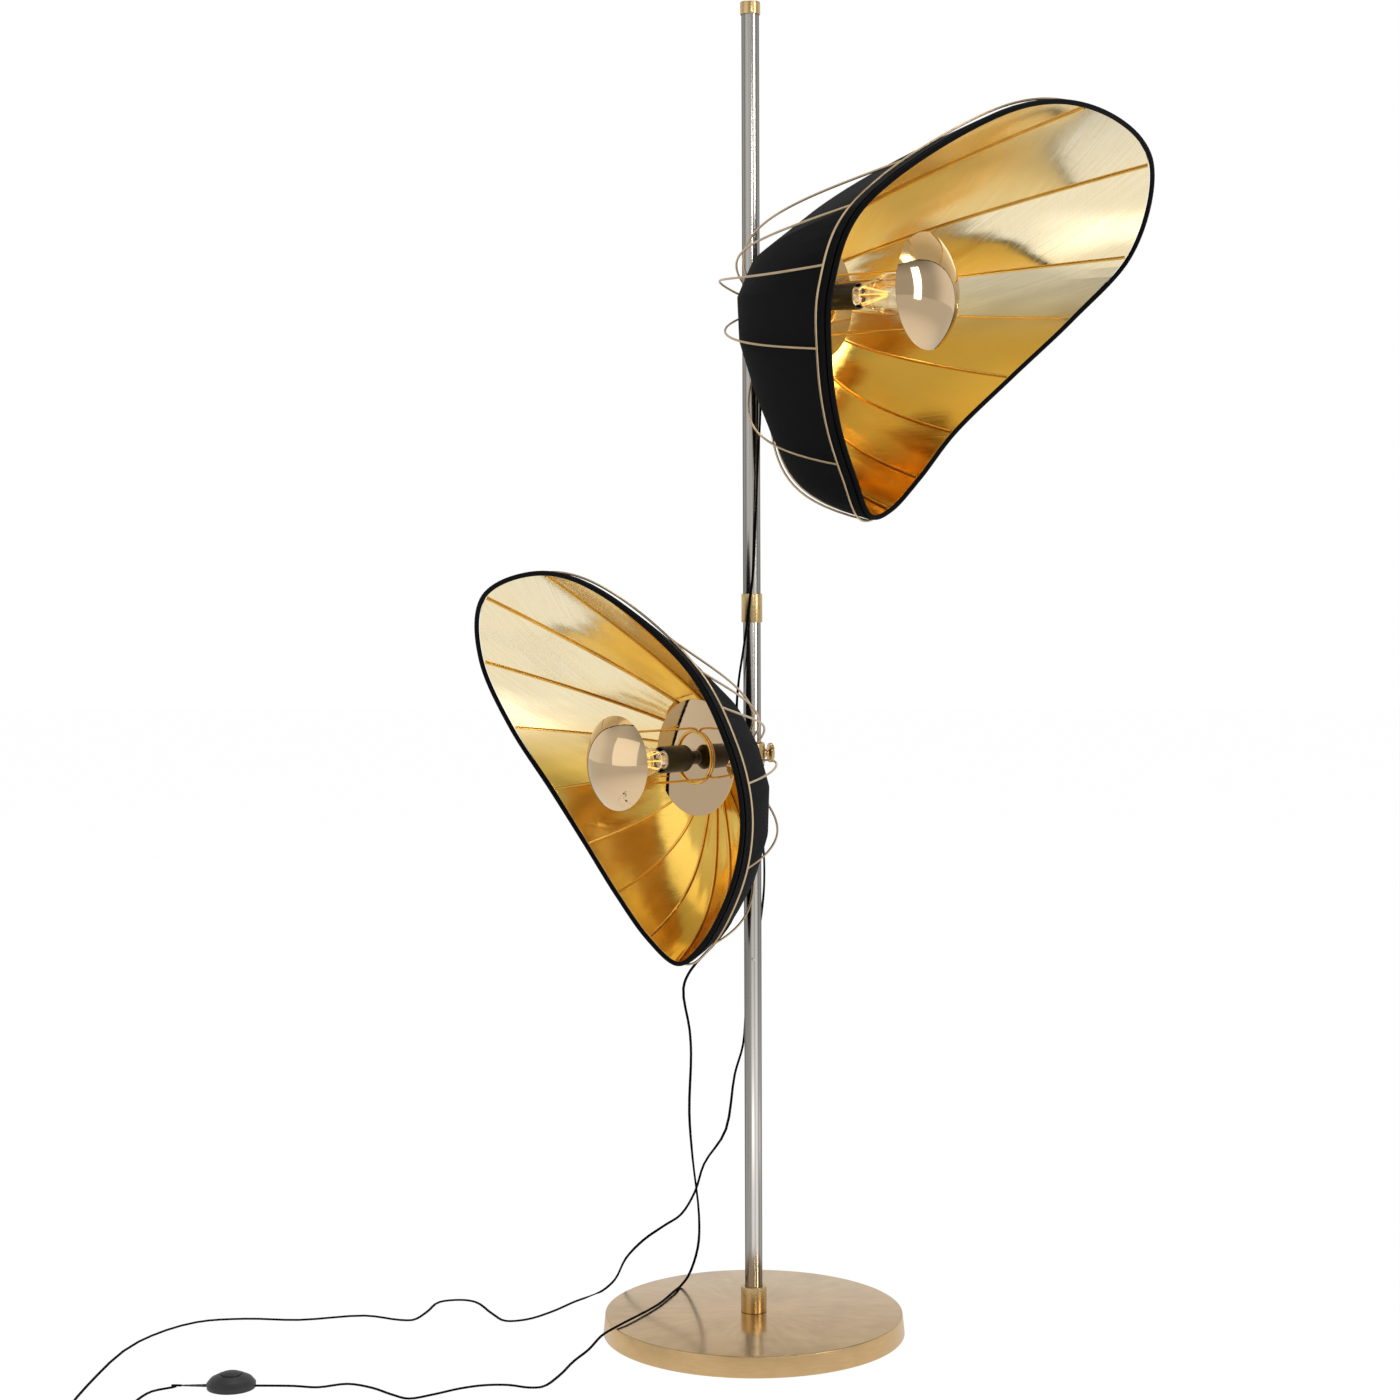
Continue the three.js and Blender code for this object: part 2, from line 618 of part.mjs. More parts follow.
function buildFitting(head) {
  const plateBack = head.plateStart;
  const plateFront = plateBack + backplate.thickness;
  const retainerFront = plateFront + seat + retainer.thickness;
  const sleeve = arm.radius + seat;
  const hubBack = hubFront - hub.thickness;
  const pilotRadius = shade.innerRadius - hub.pilotGap;
  addHeadPiece(head, "hub", "brass", turnedAlong([
    [sleeve, cageBack],
    [hub.bossRadius, cageBack],
    [hub.bossRadius, hubBack],
    [hub.radius, hubBack],
    [hub.radius, hubFront],
    [pilotRadius, hubFront],
    [pilotRadius, shade.bottom - seat],
    [hub.frontRadius, shade.bottom - seat],
    [hub.frontRadius, plateBack - seat],
    [sleeve, plateBack - seat],
  ], hubFacets));
  const plateOutline = ring(sleeve, backplate.radius, plateBack, plateFront);
  addHeadPiece(head, "backplate", "mirror", turnedAlong(plateOutline, plateFacets));
  const retainerOutline = ring(sleeve, retainer.radius, plateFront + seat, retainerFront);
  addHeadPiece(head, "retainer", "mirror", turnedAlong(retainerOutline, plateFacets));

  const neckBack = retainerFront + seat;
  const coneStart = neckBack + holder.neck;
  const bodyStart = coneStart + holder.cone;
  const mouth = bodyStart + holder.body;
  const armEnd = coneStart;
  const armOutline = ring(arm.bore, arm.radius, arm.start, armEnd);
  addHeadPiece(head, "arm", "brass", turnedAlong(armOutline, smallFacets));
  const cavity = bodyStart + holder.floor;
  addHeadPiece(head, "holder", "black", turnedAlong([
    [sleeve, neckBack],
    [holder.neckRadius, neckBack],
    [holder.neckRadius, coneStart],
    [holder.radius, bodyStart],
    [holder.radius, mouth],
    [holder.radius - holder.wall, mouth],
    [holder.radius - holder.wall, cavity],
    [arm.bore, cavity],
    [arm.bore, armEnd + seat],
    [sleeve, armEnd + seat],
  ], domeFacets));

  // Bulb: its cap sits in the holder, its glass swells in front of it round the filament stem.
  const capBack = cavity + seat;
  const capFront = mouth - holder.floor;
  const stemEnd = capFront + bulb.stem;
  addHeadPiece(head, "bulb_cap", "brass", turnedAlong([
    [0, capBack],
    [bulb.capRadius / 2, capBack],
    [bulb.capRadius, capBack + holder.floor],
    [bulb.capRadius, capFront],
    [bulb.stemRadius, capFront],
    [bulb.stemRadius, stemEnd],
    [0, stemEnd],
  ], smallFacets));
  const glassBack = capFront + seat;
  const glassTip = glassBack + bulb.length;
  const bulbCentre = glassTip - bulb.radius;
  const roundPoints = (radius) => [-0.25, 0, 0.22, 0.4].map((turn) => [
    radius * Math.cos(turn * Math.PI),
    bulbCentre + radius * Math.sin(turn * Math.PI),
  ]);
  const outside = [
    [bulb.neckRadius, glassBack],
    [bulb.neckRadius + bulb.wall, bulbCentre - bulb.radius],
    ...roundPoints(bulb.radius),
    [0, glassTip],
  ];
  const inside = outside.map(([radius, along]) => [Math.max(radius - bulb.wall, 0), along]);
  inside[inside.length - 1][1] = glassTip - bulb.wall;
  const glass = turnedAlong([...outside, ...inside.reverse()], smallFacets);
  addHeadPiece(head, "bulb_glass", "glass", glass);

  // Dome: a shallow spun mirror, hollow towards the bulb, on three wires from a ring at the neck.
  const { domeRadius, domeStart } = head;
  const domeDepth = domeRadius * dome.depthShare;
  const sphere = (domeRadius ** 2 + domeDepth ** 2) / (2 * domeDepth);
  const opening = Math.asin(domeRadius / sphere);
  const arcSteps = 4;
  const arc = (radius) => evenShares(arcSteps, opening).map((angle) => [
    radius * Math.sin(angle),
    domeStart + domeDepth - sphere + radius * Math.cos(angle),
  ]);
  const domeOutline = [...arc(sphere), ...arc(sphere - dome.wall).reverse()];
  addHeadPiece(head, "dome", "mirror", turnedAlong(domeOutline, domeFacets));

  const ringAt = retainerFront + seat + domeWire.radius;
  const { ringRadius, bend } = domeWire;
  const runRadius = head.wireRadius;
  const hollow = Math.sqrt((sphere - dome.wall) ** 2 - (runRadius + domeWire.radius) ** 2);
  const wireEnd = domeStart + domeDepth - sphere + hollow - domeWire.touch;
  const pieces = [wire(Array.from({ length: smallFacets }, (_, i) => {
    const angle = (fullTurn * i) / smallFacets;
    return vector(ringAt, ringRadius * Math.cos(angle), ringRadius * Math.sin(angle));
  }), domeWire.radius, domeWire.facets, true)];
  for (let i = 0; i < 3; i += 1) {
    const angle = degrees(head.wireTurn) + (fullTurn * i) / 3;
    const out = (along, radius) => vector(along, radius * Math.sin(angle), radius * Math.cos(angle));
    pieces.push(wire([
      out(ringAt, ringRadius - domeWire.radius),
      out(ringAt, (ringRadius + runRadius) / 2),
      out(ringAt + bend / 4, runRadius - domeWire.radius),
      out(ringAt + bend, runRadius),
      out(wireEnd, runRadius),
    ], domeWire.radius, domeWire.facets));
  }
  addHeadPiece(head, "dome_wires", "gold", joined(pieces));
}

function buildClamp(head) {
  const half = collar.height / 2;
  const bushInner = pole.radius + seat;
  const bushOuter = bushInner + bush.wall;
  const flangeTop = -half - seat;
  const flangeLow = flangeTop - bush.flange;
  const guideTurn = degrees(head.guideTurn);
  const earAt = [guide.radius * Math.cos(guideTurn), guide.radius * Math.sin(guideTurn)];
  const upright = (radius, length, facets) => {
    const cylinder = new THREE.CylinderGeometry(radius, radius, length, facets);
    return cylinder.rotateX(Math.PI / 2);
  };
  const atEar = (geometry) => geometry.translate(earAt[0], earAt[1], (flangeTop + flangeLow) / 2);
  const ear = atEar(upright(guide.earRadius, bush.flange, smallFacets));
  const bore = upright(bushInner, 2 * collar.height, poleFacets);
  const eye = atEar(upright(guide.neckRadius + seat, bush.flange + 2 * overrun, smallFacets));
  const sleeve = turned([
    [bushInner - overrun, flangeLow],
    [bush.flangeRadius, flangeLow],
    [bush.flangeRadius, flangeTop],
    [bushOuter, flangeTop],
    [bushOuter, half],
    [bushInner - overrun, half],
  ], poleFacets);
  const bushBody = cut(joined([sleeve, ear]), [bore, eye]).translate(0, 0, head.height);
  addPiece(`${head.name}_bush`, "nylon", bushBody);

  const guideTop = flangeTop + guide.headHeight + seat;
  const guideTip = flangeLow - seat - guide.length;
  const strain = turned([
    [0, guideTip],
    [guide.tipRadius, guideTip],
    [guide.bootRadius, flangeLow - seat],
    [guide.neckRadius, flangeLow - seat],
    [guide.neckRadius, flangeTop + seat],
    [guide.headRadius, flangeTop + seat],
    [guide.headRadius, guideTop],
    [0, guideTop],
  ], smallFacets);
  addPiece(`${head.name}_lead_guide`, "nylon", strain.translate(earAt[0], earAt[1], head.height));

  const collarInner = bushOuter + 2 * seat;
  const collarOuter = collarInner + collar.wall;
  const body = turned([
    [collarInner, -half],
    [collarOuter - collar.round, -half],
    [collarOuter, -half + collar.round],
    [collarOuter, half - collar.round],
    [collarOuter - collar.round, half],
    [collarInner, half],
  ], poleFacets);
  const rootedAt = (collarInner + collarOuter) / 2;
  const armBoss = turnedAlong(disc(collar.bossRadius, rootedAt, collar.bossReach), smallFacets);
  const screwBoss = turnedAlong(disc(screw.bossRadius, rootedAt, collar.bossReach), smallFacets);
  screwBoss.rotateZ(degrees(head.screwTurn));
  const holeRadius = screw.shankRadius + screw.clearance;
  const holeOutline = disc(holeRadius, rootedAt - collar.wall, collar.bossReach + overrun);
  const screwHole = turnedAlong(holeOutline, smallFacets).rotateZ(degrees(head.screwTurn));
  const clear = upright(collarInner, 2 * collar.height, poleFacets);
  const collarBody = cut(joined([body, armBoss, screwBoss]), [clear, screwHole]);
  addHeadPiece(head, "collar", "brass", collarBody);

  const knobEnd = screw.knobStart + screw.knobThickness;
  const thumb = turnedAlong([
    [0, bushOuter + 2 * seat],
    [screw.shankRadius, bushOuter + 2 * seat],
    [screw.shankRadius, screw.knobStart - overrun],
    [screw.hubRadius, screw.knobStart - overrun],
    [screw.knobRadius, screw.knobStart + screw.knobThickness / 2],
    [screw.knobRadius, knobEnd - overrun],
    [screw.knobRadius / 2, knobEnd],
    [0, knobEnd],
  ], domeFacets);
  addHeadPiece(head, "thumb_screw", "brass", thumb.rotateZ(degrees(head.screwTurn)));
}

// A lead's route on the floor: past the switch it runs on to the coil, and past that to the plug.
function buildLead(head) {
  const { fall, base: onBase = [], edge = [], floor, switchAt, switchTurn, tail, tailEnd } = head.lead;
  const { radius, bootRadius, bootLength, well } = footSwitch;
  const guideLow = head.height - collar.height / 2 - 2 * seat - bush.flange - guide.length;
  const guideTurn = degrees(head.guideTurn);
  const [startX, startY] = [guide.radius * Math.cos(guideTurn), guide.radius * Math.sin(guideTurn)];
  const heading = vector(Math.cos(degrees(switchTurn)), Math.sin(degrees(switchTurn)), 0);
  const middle = vector(switchAt[0], switchAt[1], floorRun);
  const face = radius * Math.cos(Math.PI / hubFacets);
  const before = (distance) => middle.clone().addScaledVector(heading, -face - seat - distance);
  const points = [
    vector(startX, startY, guideLow - seat),
    vector(startX, startY, guideLow - seat - lead.straight),
    ...fall.map((point) => vector(...point)),
    ...onBase.map(([x, y]) => vector(x, y, baseRun)),
    ...edge.map((point) => vector(...point)),
    ...floor.map(([x, y]) => vector(x, y, floorRun)),
    before(lead.straight),
    before(0),
  ];
  addPiece(`${head.name}_lead`, "lead", extrudedLead(points));

  const body = turned([
    [0, 0],
    [radius, 0],
    [radius, footSwitch.rim],
    [footSwitch.shoulderRadius, footSwitch.shoulder],
    [footSwitch.crownRadius, footSwitch.crown],
    [footSwitch.buttonRadius + seat, footSwitch.crown],
    [footSwitch.buttonRadius + seat, well],
    [0, well],
  ], hubFacets).rotateZ(Math.PI / hubFacets);
  const bootTip = floorRun - lead.lift;
  const boot = new THREE.CylinderGeometry(bootTip, bootRadius, bootLength + overrun, smallFacets);
  boot.rotateZ(-Math.PI / 2);
  boot.scale(1, 1, bootTip / bootRadius);
  boot.translate(face - overrun + (bootLength + overrun) / 2, 0, floorRun);
  const atSwitch = (geometry) => {
    geometry.rotateZ(degrees(switchTurn));
    return geometry.translate(switchAt[0], switchAt[1], 0);
  };
  addPiece(`${head.name}_switch`, "black", atSwitch(joined([body, boot])));
  const buttonFoot = well + footSwitch.travel + seat;
  const button = turned([
    [0, buttonFoot],
    [footSwitch.buttonRadius, buttonFoot],
    [footSwitch.buttonRadius, footSwitch.buttonTop - 2 * footSwitch.buttonCrown],
    [footSwitch.buttonRadius * Math.SQRT1_2, footSwitch.buttonTop - footSwitch.buttonCrown / 2],
    [0, footSwitch.buttonTop],
  ], hubFacets).rotateZ(Math.PI / hubFacets);
  addPiece(`${head.name}_button`, "black", atSwitch(button));

  const bootEnd = middle.clone().addScaledVector(heading, face + bootLength + seat);
  let coilStart = bootEnd;
  if (tail.length > 0) {
    const last = vector(tailEnd[0], tailEnd[1], floorRun);
    addPiece(`${head.name}_tail`, "lead", extrudedLead([
      bootEnd,
      bootEnd.clone().addScaledVector(heading, lead.straight),
      ...tail.map(([x, y]) => vector(x, y, floorRun)),
      last.clone().add(vector(0, lead.straight, 0)),
      last,
    ]));
    coilStart = last.clone().add(vector(0, -seat, 0));
  }
  const route = coilRoute(coilStart);
  addPiece(`${head.name}_coil`, "lead", wire(route, lead.diameter / 2, coil.sides));
  const gap = leastGap(route);
  console.log(`${head.name}_coil least gap to itself ${gap.toFixed(2)} mm`);
  buildPlug(head, route.at(-1));
}

// The coil: it enters and leaves towards -Y, spirals in on the floor, climbs one layer in the
// half turn where the spiral turns back, and spirals out again on top.
function coilRoute(start) {
  const pitch = lead.diameter + coil.spare;
  const outermost = coil.meanRadius + (pitch * coil.loops) / 4;
  const centre = start.clone().add(vector(outermost, -lead.diameter, 0));
  const count = coil.loops * coil.steps;
  const points = Array.from({ length: count + 1 }, (_, i) => {
    const turn = i / coil.steps;
    const inward = Math.min(turn, coil.loops - turn);
    const climb = THREE.MathUtils.smoothstep(turn, coil.loops / 2 - 1 / 4, coil.loops / 2 + 1 / 4);
    const angle = Math.PI + fullTurn * turn;
    const reach = outermost - pitch * inward;
    return centre.clone().add(vector(reach * Math.cos(angle), reach * Math.sin(angle), pitch * climb));
  });
  points.push(points.at(-1).clone().add(vector(0, -lead.diameter, 0)));
  points.unshift(start);
  return points;
}

// The least distance between the skins of two stretches of a route that are over half a turn apart.
function leastGap(route) {
  let least = Infinity;
  route.forEach((point, i) => {
    for (let j = i + coil.steps / 2; j < route.length; j += 1) {
      least = Math.min(least, point.distanceTo(route[j]) - lead.diameter);
    }
  });
  return least;
}

// A flat plug that lies on the floor past the coil, its boot in line with the coil's end.
function buildPlug(head, end) {
  const { length, width, noseWidth, bootRadius, bootLength, pinRadius, pinLength, pinSpacing } = mainsPlug;
  const outline = new THREE.Shape();
  outline.moveTo(noseWidth / 4, 0);
  outline.lineTo(width / 2, length / 3);
  outline.lineTo(width / 2, length);
  outline.lineTo(-width / 2, length);
  outline.lineTo(-width / 2, length / 3);
  outline.lineTo(-noseWidth / 4, 0);
  outline.closePath();
  const thickness = 2 * (end.z - lead.lift);
  const body = new THREE.ExtrudeGeometry(outline, { depth: thickness, bevelEnabled: false });
  body.translate(0, 0, lead.lift - end.z);
  const boot = new THREE.CylinderGeometry(2 * bootRadius, bootRadius, bootLength + overrun, smallFacets);
  boot.translate(0, (overrun - bootLength) / 2, 0);
  const pins = [-1, 1].map((side) => {
    const pin = new THREE.CylinderGeometry(pinRadius, pinRadius, pinLength + overrun, smallFacets);
    return pin.translate((side * pinSpacing) / 2, length + (pinLength - overrun) / 2, 0);
  });
  const whole = joined([body, boot, ...pins]).rotateZ(Math.PI);
  addPiece(`${head.name}_plug`, "black", whole.translate(end.x, end.y - seat - bootLength, end.z));
}

buildBase();
buildPole();
for (const head of heads) {
  buildClamp(head);
  buildFitting(head);
  buildShade(head);
  buildLead(head);
}

export default lamp;
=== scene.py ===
"""Two-headed sliding floor lamp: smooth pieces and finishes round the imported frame.

Tables and section sizes are millimetres in the row frame, the same numbers as in the part's
source; a mesh is turned into metres when it is made.
"""

import json
import math
import types

import bmesh
import bpy
import numpy as np
from bpy.props import FloatProperty, FloatVectorProperty, PointerProperty
from mathutils import Matrix, Vector


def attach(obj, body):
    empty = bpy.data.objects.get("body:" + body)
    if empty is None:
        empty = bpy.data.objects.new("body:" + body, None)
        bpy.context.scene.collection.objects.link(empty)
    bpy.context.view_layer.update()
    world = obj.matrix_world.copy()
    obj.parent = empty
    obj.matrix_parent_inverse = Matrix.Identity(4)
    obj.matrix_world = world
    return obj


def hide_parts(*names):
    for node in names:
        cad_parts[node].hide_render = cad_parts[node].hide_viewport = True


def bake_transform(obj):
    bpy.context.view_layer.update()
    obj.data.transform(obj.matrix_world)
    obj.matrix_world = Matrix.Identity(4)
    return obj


bl_info = {
    "name": "Two-headed sliding floor lamp",
    "version": (1, 0, 0),
    "blender": (4, 5, 0),
    "location": "View3D > Sidebar > Lamp",
    "description": "Dresses the packed lamp with its smooth pieces and finishes",
    "category": "Object",
}

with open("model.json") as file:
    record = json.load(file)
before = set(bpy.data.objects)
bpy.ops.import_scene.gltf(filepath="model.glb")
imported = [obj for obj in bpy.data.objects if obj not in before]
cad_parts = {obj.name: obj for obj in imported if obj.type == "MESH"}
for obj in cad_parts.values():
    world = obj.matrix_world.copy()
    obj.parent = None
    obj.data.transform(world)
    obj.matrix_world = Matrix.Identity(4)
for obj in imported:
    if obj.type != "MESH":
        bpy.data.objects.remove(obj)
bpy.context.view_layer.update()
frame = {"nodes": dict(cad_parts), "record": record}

Sizes = types.SimpleNamespace

MM = 0.001
FULL_TURN = 2 * math.pi
SEAT = 0.3  # The gap between two pieces that sit on each other.
OWN_PREFIX = "lamp_"  # Keeps the finishes made here apart from the CAD materials.

# Painted reflections round the pole: light and dark streaks fixed to the tube, as (share of a turn,
# tone). The left edge of the photograph is at 0, the front at a quarter and the right edge at a
# half.
POLE_PAINTED_REFLECTIONS = [(share, (tone, tone, tone)) for share, tone in (
    (0.0, 0.1), (0.09, 0.22), (0.185, 0.26), (0.215, 0.4), (0.237, 0.9), (0.262, 0.88),
    (0.278, 0.45), (0.298, 0.85), (0.318, 1.0), (0.338, 0.6), (0.358, 0.15), (0.385, 0.2),
    (0.42, 0.35), (0.5, 0.3), (0.62, 0.7), (1.0, 0.1))]

# Where the base's top turns into its side, and where a clamp has scuffed the pole: the heights
# over which the scuff begins and ends. All in metres, as the finishes see them.
BASE_EDGE = (0.2035, 0.2055)
SCUFF = ((1.494, 1.503), (1.528, 1.54))
# Threads of the cloth, in radians for each metre of its run and for each panel.
WEFT, WARP = 5200.0, 520.0

# The photograph's camera.
IMAGE_SIDE = 1400
CAMERA_PIXELS = 2600
CAMERA_PLACE = (0.0, -3.55725, 1.08864)
CAMERA_PITCH, CAMERA_YAW, CAMERA_ROLL = 3.37, 1.15, -0.233
SENSOR = 36.0
CLIP_END = 60.0

# The studio, in metres: windows as (name, place, height aimed at, size, power).
WINDOWS = (
    ("left_window", (-3.0, -2.6, 1.9), 1.1, (3.4, 3.0), 17),
    ("right_window", (3.0, -2.1, 2.0), 1.0, (0.7, 2.4), 36),
    ("front_window", (1.6, -4.6, 2.3), 1.2, (0.5, 1.2), 22),
    ("top_window", (0.0, 0.6, 4.4), 0.9, (2.0, 2.0), 40),
)
FLOOR = Sizes(half=14.0, grey=0.8, white=1.05, white_share=0.93)
# What polished pieces mirror of the floor: a wide pool of light and two glares, each as
# (x, y, radius of the full level, radius where it ends, squeeze along x).
POOL, POOL_LEVEL, POOL_EDGE = (0.4, 0.0, 0.8, 4.2, 1.2), 0.34, 0.62
GLARES, GLARE_LEVEL = ((1.0, 0.05, 0.1, 0.4, 1.0), (0.0, -1.0, 0.1, 0.5, 1.0)), 0.9
# What they mirror of the air, and the soft light from all round.
AIR = Sizes(front=0.46, back=0.4, left=0.2, top_loss=0.65, left_keeps=0.8, soft=0.3)

# Base and pole.
BASE = Sizes(bottom=209, top=206, height=29, lip=0.8, wall=1.5, bolt_hole=5.3)
BOSS = Sizes(inner=12.3, outer=17.8, low=29.3, high=64.8)
POLE = Sizes(wall=1.5, foot=29.3, joint=1005, top=1818)
COUPLING = Sizes(inner=12.3, outer=14.3, low=985.5, high=1024.5)
CAP = Sizes(inner=12.3, outer=13.6, skirt=1805, under=1818.3, top=1821.8)
LOCK_SCREW = Sizes(height=522, shank=1.6, play=0.2, head=2.6, crown_share=0.75, edge=0.35, high=1,
                   socket=1.1, deep=0.7)

# Clamps.
BUSH = Sizes(inner=12.3, outer=13.9, flange=16.5, low=-17.7)
COLLAR = Sizes(inner=14.5, outer=17.3, half=15, round=2.5, boss=8.5, reach=18.5)
THUMB = Sizes(boss=7, shank=3, play=0.5, start=20.5, thick=8.5, knob=13.5, hub=5, hub_back=1,
              hub_front=2.2, web=3.2, flutes=24, flute_depth=0.035, flute_edge=(2.0, 0.6))
# The knob's hollow face: (share of its radius, depth) from its edge to its middle.
KNOB_FACE = ((0.62, 0.2), (0.5, 1.2), (0, 1.0))
GUIDE = Sizes(reach=21.5, ear=6.5, neck=2.6, head=4.2, tip=2.7, boot=4.2, length=22)
RELIEF = Sizes(rings=9, groove=0.45, ringed_share=0.95, plain=0.9, lip=0.5, button=1.5,
               button_edge=0.4)
# Where the cutters of a clamp begin and end, well past what they cut.
CUT = Sizes(bore=(-40, 40), eye=(-20, -12), screw=(10, 30))

# Fittings, along a head's own axis.
ARM = Sizes(radius=6.5, bore=4.5, start=19.2)
HUB = Sizes(radius=36, front=60.1, back=57.1, sleeve=36, boss=12, nose=10, pilot=30.1)
PLATE = Sizes(radius=79, thick=2)
RETAINER = Sizes(radius=37, thick=1.2)
HOLDER = Sizes(radius=18, neck=9, neck_long=6, cone=12, body=42, wall=2.2, floor=3)
BULB = Sizes(radius=29, neck=13, length=83, wall=1, cap=13, stem=36, waist=20.5, flare=0.8,
             thinning=6)
# The cap's contact as (radius, height), its thread, and the stem as (radius, height) at its foot
# and (radius, depth under its tip) above.
CONTACT = ((5, SEAT), (8, 2), (BULB.cap, 4))
THREAD = Sizes(steps=32, wave=8, depth=0.55, root=0.6, start=5, spare=7, lip=0.3)
STEM_FOOT = ((9, 0), (3, 8))
STEM_TOP = ((3, 10), (1.6, 0))
FILAMENT = Sizes(strands=6, wide=12.5, narrow=3.2, low=-24, high=9, ring_gap=0.2, strand=0.9,
                 wire=0.35)
DOME = Sizes(depth_share=0.41, wall=1.2, steps=28)
DOME_WIRE = Sizes(radius=1.5, ring=35, bend=10, touch=1.2)

# Shades.
BOWL = Sizes(bottom=65, hole=31, flat=50, lining=1.3, gap=1.5, cloth=1.5)
CAGE = Sizes(set_back=13, clearance=2.2, bulge=30, plane=38.5, ring_wall=4, ring_long=5)

HEADS = {
    "upper": {
        "height": 1418, "turn": -35.5, "far": 1, "screw_turn": 95, "guide_turn": -90,
        "plate": 111, "dome": 280, "dome_radius": 76, "wire_run": 48, "wire_turn": 180,
        "half_width": 334, "half_height": 290, "reach": 520,
        "inner": (1.46, 4, 2), "outer": (1.6, 7, 1.6),
        "side": (-0.045, 0.665, 1, 0.892, 0.665, 0.422, 0.234, 0.066, -0.09, -0.24, -0.422,
                 -0.665, -0.892, -1, -0.545),
        "up": (0.724, 0.583, 0.221, -0.062, -0.345, -0.61, -0.824, -0.972, -1, -0.828, -0.61,
               -0.345, -0.062, 0.221, 0.628),
        "out": (1, 0.937, 0.765, 0.637, 0.533, 0.454, 0.423, 0.404, 0.408, 0.423, 0.454, 0.533,
                0.637, 0.765, 0.956),
        "wires": (1.6, 2, 2.7, 3.8, 5.7, 7.4), "bulges": (0.3, 0.1, 0.4, 0.1, 0.35, 0.4),
    },
    "lower": {
        "height": 806, "turn": -137.2, "far": -1, "screw_turn": 153.2, "guide_turn": 150,
        "plate": 102.5, "dome": 242, "dome_radius": 62.5, "wire_run": 41, "wire_turn": 11,
        "half_width": 220, "half_height": 276, "reach": 362,
        "inner": (1.2, 4, 2), "outer": (1.35, 8, 2.5),
        "side": (0, 0.591, 0.968, 1, 0.882, 0.705, 0.495, 0.245, 0, -0.245, -0.495, -0.705,
                 -0.882, -1, -0.968, -0.591),
        "up": (0.906, 0.793, 0.471, 0.134, -0.181, -0.453, -0.688, -0.895, -1, -0.895, -0.688,
               -0.453, -0.181, 0.134, 0.471, 0.793),
        "out": (1, 0.992, 0.834, 0.682, 0.547, 0.467, 0.425, 0.398, 0.384, 0.398, 0.425, 0.467,
                0.547, 0.682, 0.834, 0.992),
        "wires": (1.6, 2, 2.5, 3.6, 5.1, 6.9), "bulges": (0, 0, 0, 0, 0.15, 0.5),
    },
}

# Leads: the route of each from its guide to its switch, as in the part's source.
LEADS = {
    "upper": {
        "fall": [
            (3, -21, 1358), (9.9, -19, 1334), (12.3, -16.5, 1299), (12.2, -15.4, 1268),
            (9.4, -15.6, 1215), (5.2, -16, 1122), (1, -16.9, 1045), (-3.1, -17.4, 1015),
            (-7, -16.2, 982), (-11.5, -13, 950), (-18.5, 0, 903), (-21, 11, 860),
            (-14, 19.5, 806), (-6, 28, 772), (5, 33, 735), (14.5, 31, 680), (16, 29.5, 622),
            (12, 29.5, 580), (1.6, 26, 519), (-8.8, 22, 457), (-14.1, 19, 398),
            (-25.6, 25, 356), (-38.3, 45, 274), (-70.3, 92, 213), (-84, 111, 168),
            (-104.2, 125, 132), (-129.2, 138, 112), (-159.2, 150, 88), (-185.9, 168, 56),
            (-203, 184, 20),
        ],
        "base": [],
        "edge": [],
        "floor": [
            (-222, 188), (-258, 134), (-289, 82), (-321, 46), (-349, 39), (-372, 74),
            (-402, 131), (-424, 141), (-453, 131), (-466, 81), (-481, 43), (-500, 43),
            (-552, 63), (-642, 42), (-719, 47), (-785, 30), (-845, -60), (-868, -250),
        ],
        "switch": (-868, -440), "switch_turn": -90,
        "tail": [], "tail_end": None,
    },
    "lower": {
        "fall": [
            (-17.5, 14, 700), (-14.5, 19.5, 630), (-26, 22, 578), (-48, 22, 545),
            (-86, 20, 503), (-96.5, 22, 477), (-88.5, 34, 417), (-86.8, 42, 381),
            (-90, 59, 295), (-86.1, 74, 227), (-77.7, 95, 138), (-80, 108, 88), (-94, 119, 44),
        ],
        "base": [(-104, 116), (-112, 90), (-135, 18), (-187, -84)],
        "edge": [(-206, -108, 26), (-222, -122, 12)],
        "floor": [
            (-240, -138), (-256, -202), (-275, -248), (-292, -251), (-319, -241), (-350, -242),
            (-380, -255), (-412, -279), (-442, -296), (-466, -280), (-496, -253), (-530, -238),
            (-566, -252), (-598, -247),
        ],
        "switch": (-680, -246), "switch_turn": 180,
        "tail": [(-752, -250), (-778, -270), (-790, -310), (-792, -345)], "tail_end": (-792, -380),
    },
}
LEAD = Sizes(width=3.8, core=1.25, web=0.62, arc_steps=7, straight=12, floor=2.0, base=31.3,
             follows=120)
# How a hanging lead turns about itself, in radians, between the heights where it starts to.
SWAY = Sizes(turn=1.2, start=60, end=260, wave=85.0)
EDGEWISE = Sizes(turn=1.4, start=30, end=140)
SWITCH = Sizes(radius=32, face=30.91, rim=6, shoulder=(27, 12), crown=(17, 17), well=8,
               button=13, button_top=21, button_play=0.6, travel=2.5, boot=3.4, boot_long=34)
# The button's top: (radius, drop) from its edge to its middle.
BUTTON_CROWN = ((7.5, 0.5), (3.5, 0.1))
BOOT = Sizes(rings=8, taper=1.5, ridge=0.35, squash=0.56, root=3, foot=3.6, first_ring=4, plain=6,
             mouth=1.9)
COIL = Sizes(loops=2, steps=36, mean=21, spare=0.8)
PLUG = Sizes(length=34, width=26, nose=9, boot=2.1, boot_long=32, pin=2, pin_long=19,
             pin_gap=18.6, pin_tip=1.2, pin_taper=1.5, inset=0.06, lift=0.1, bevel=0.8)
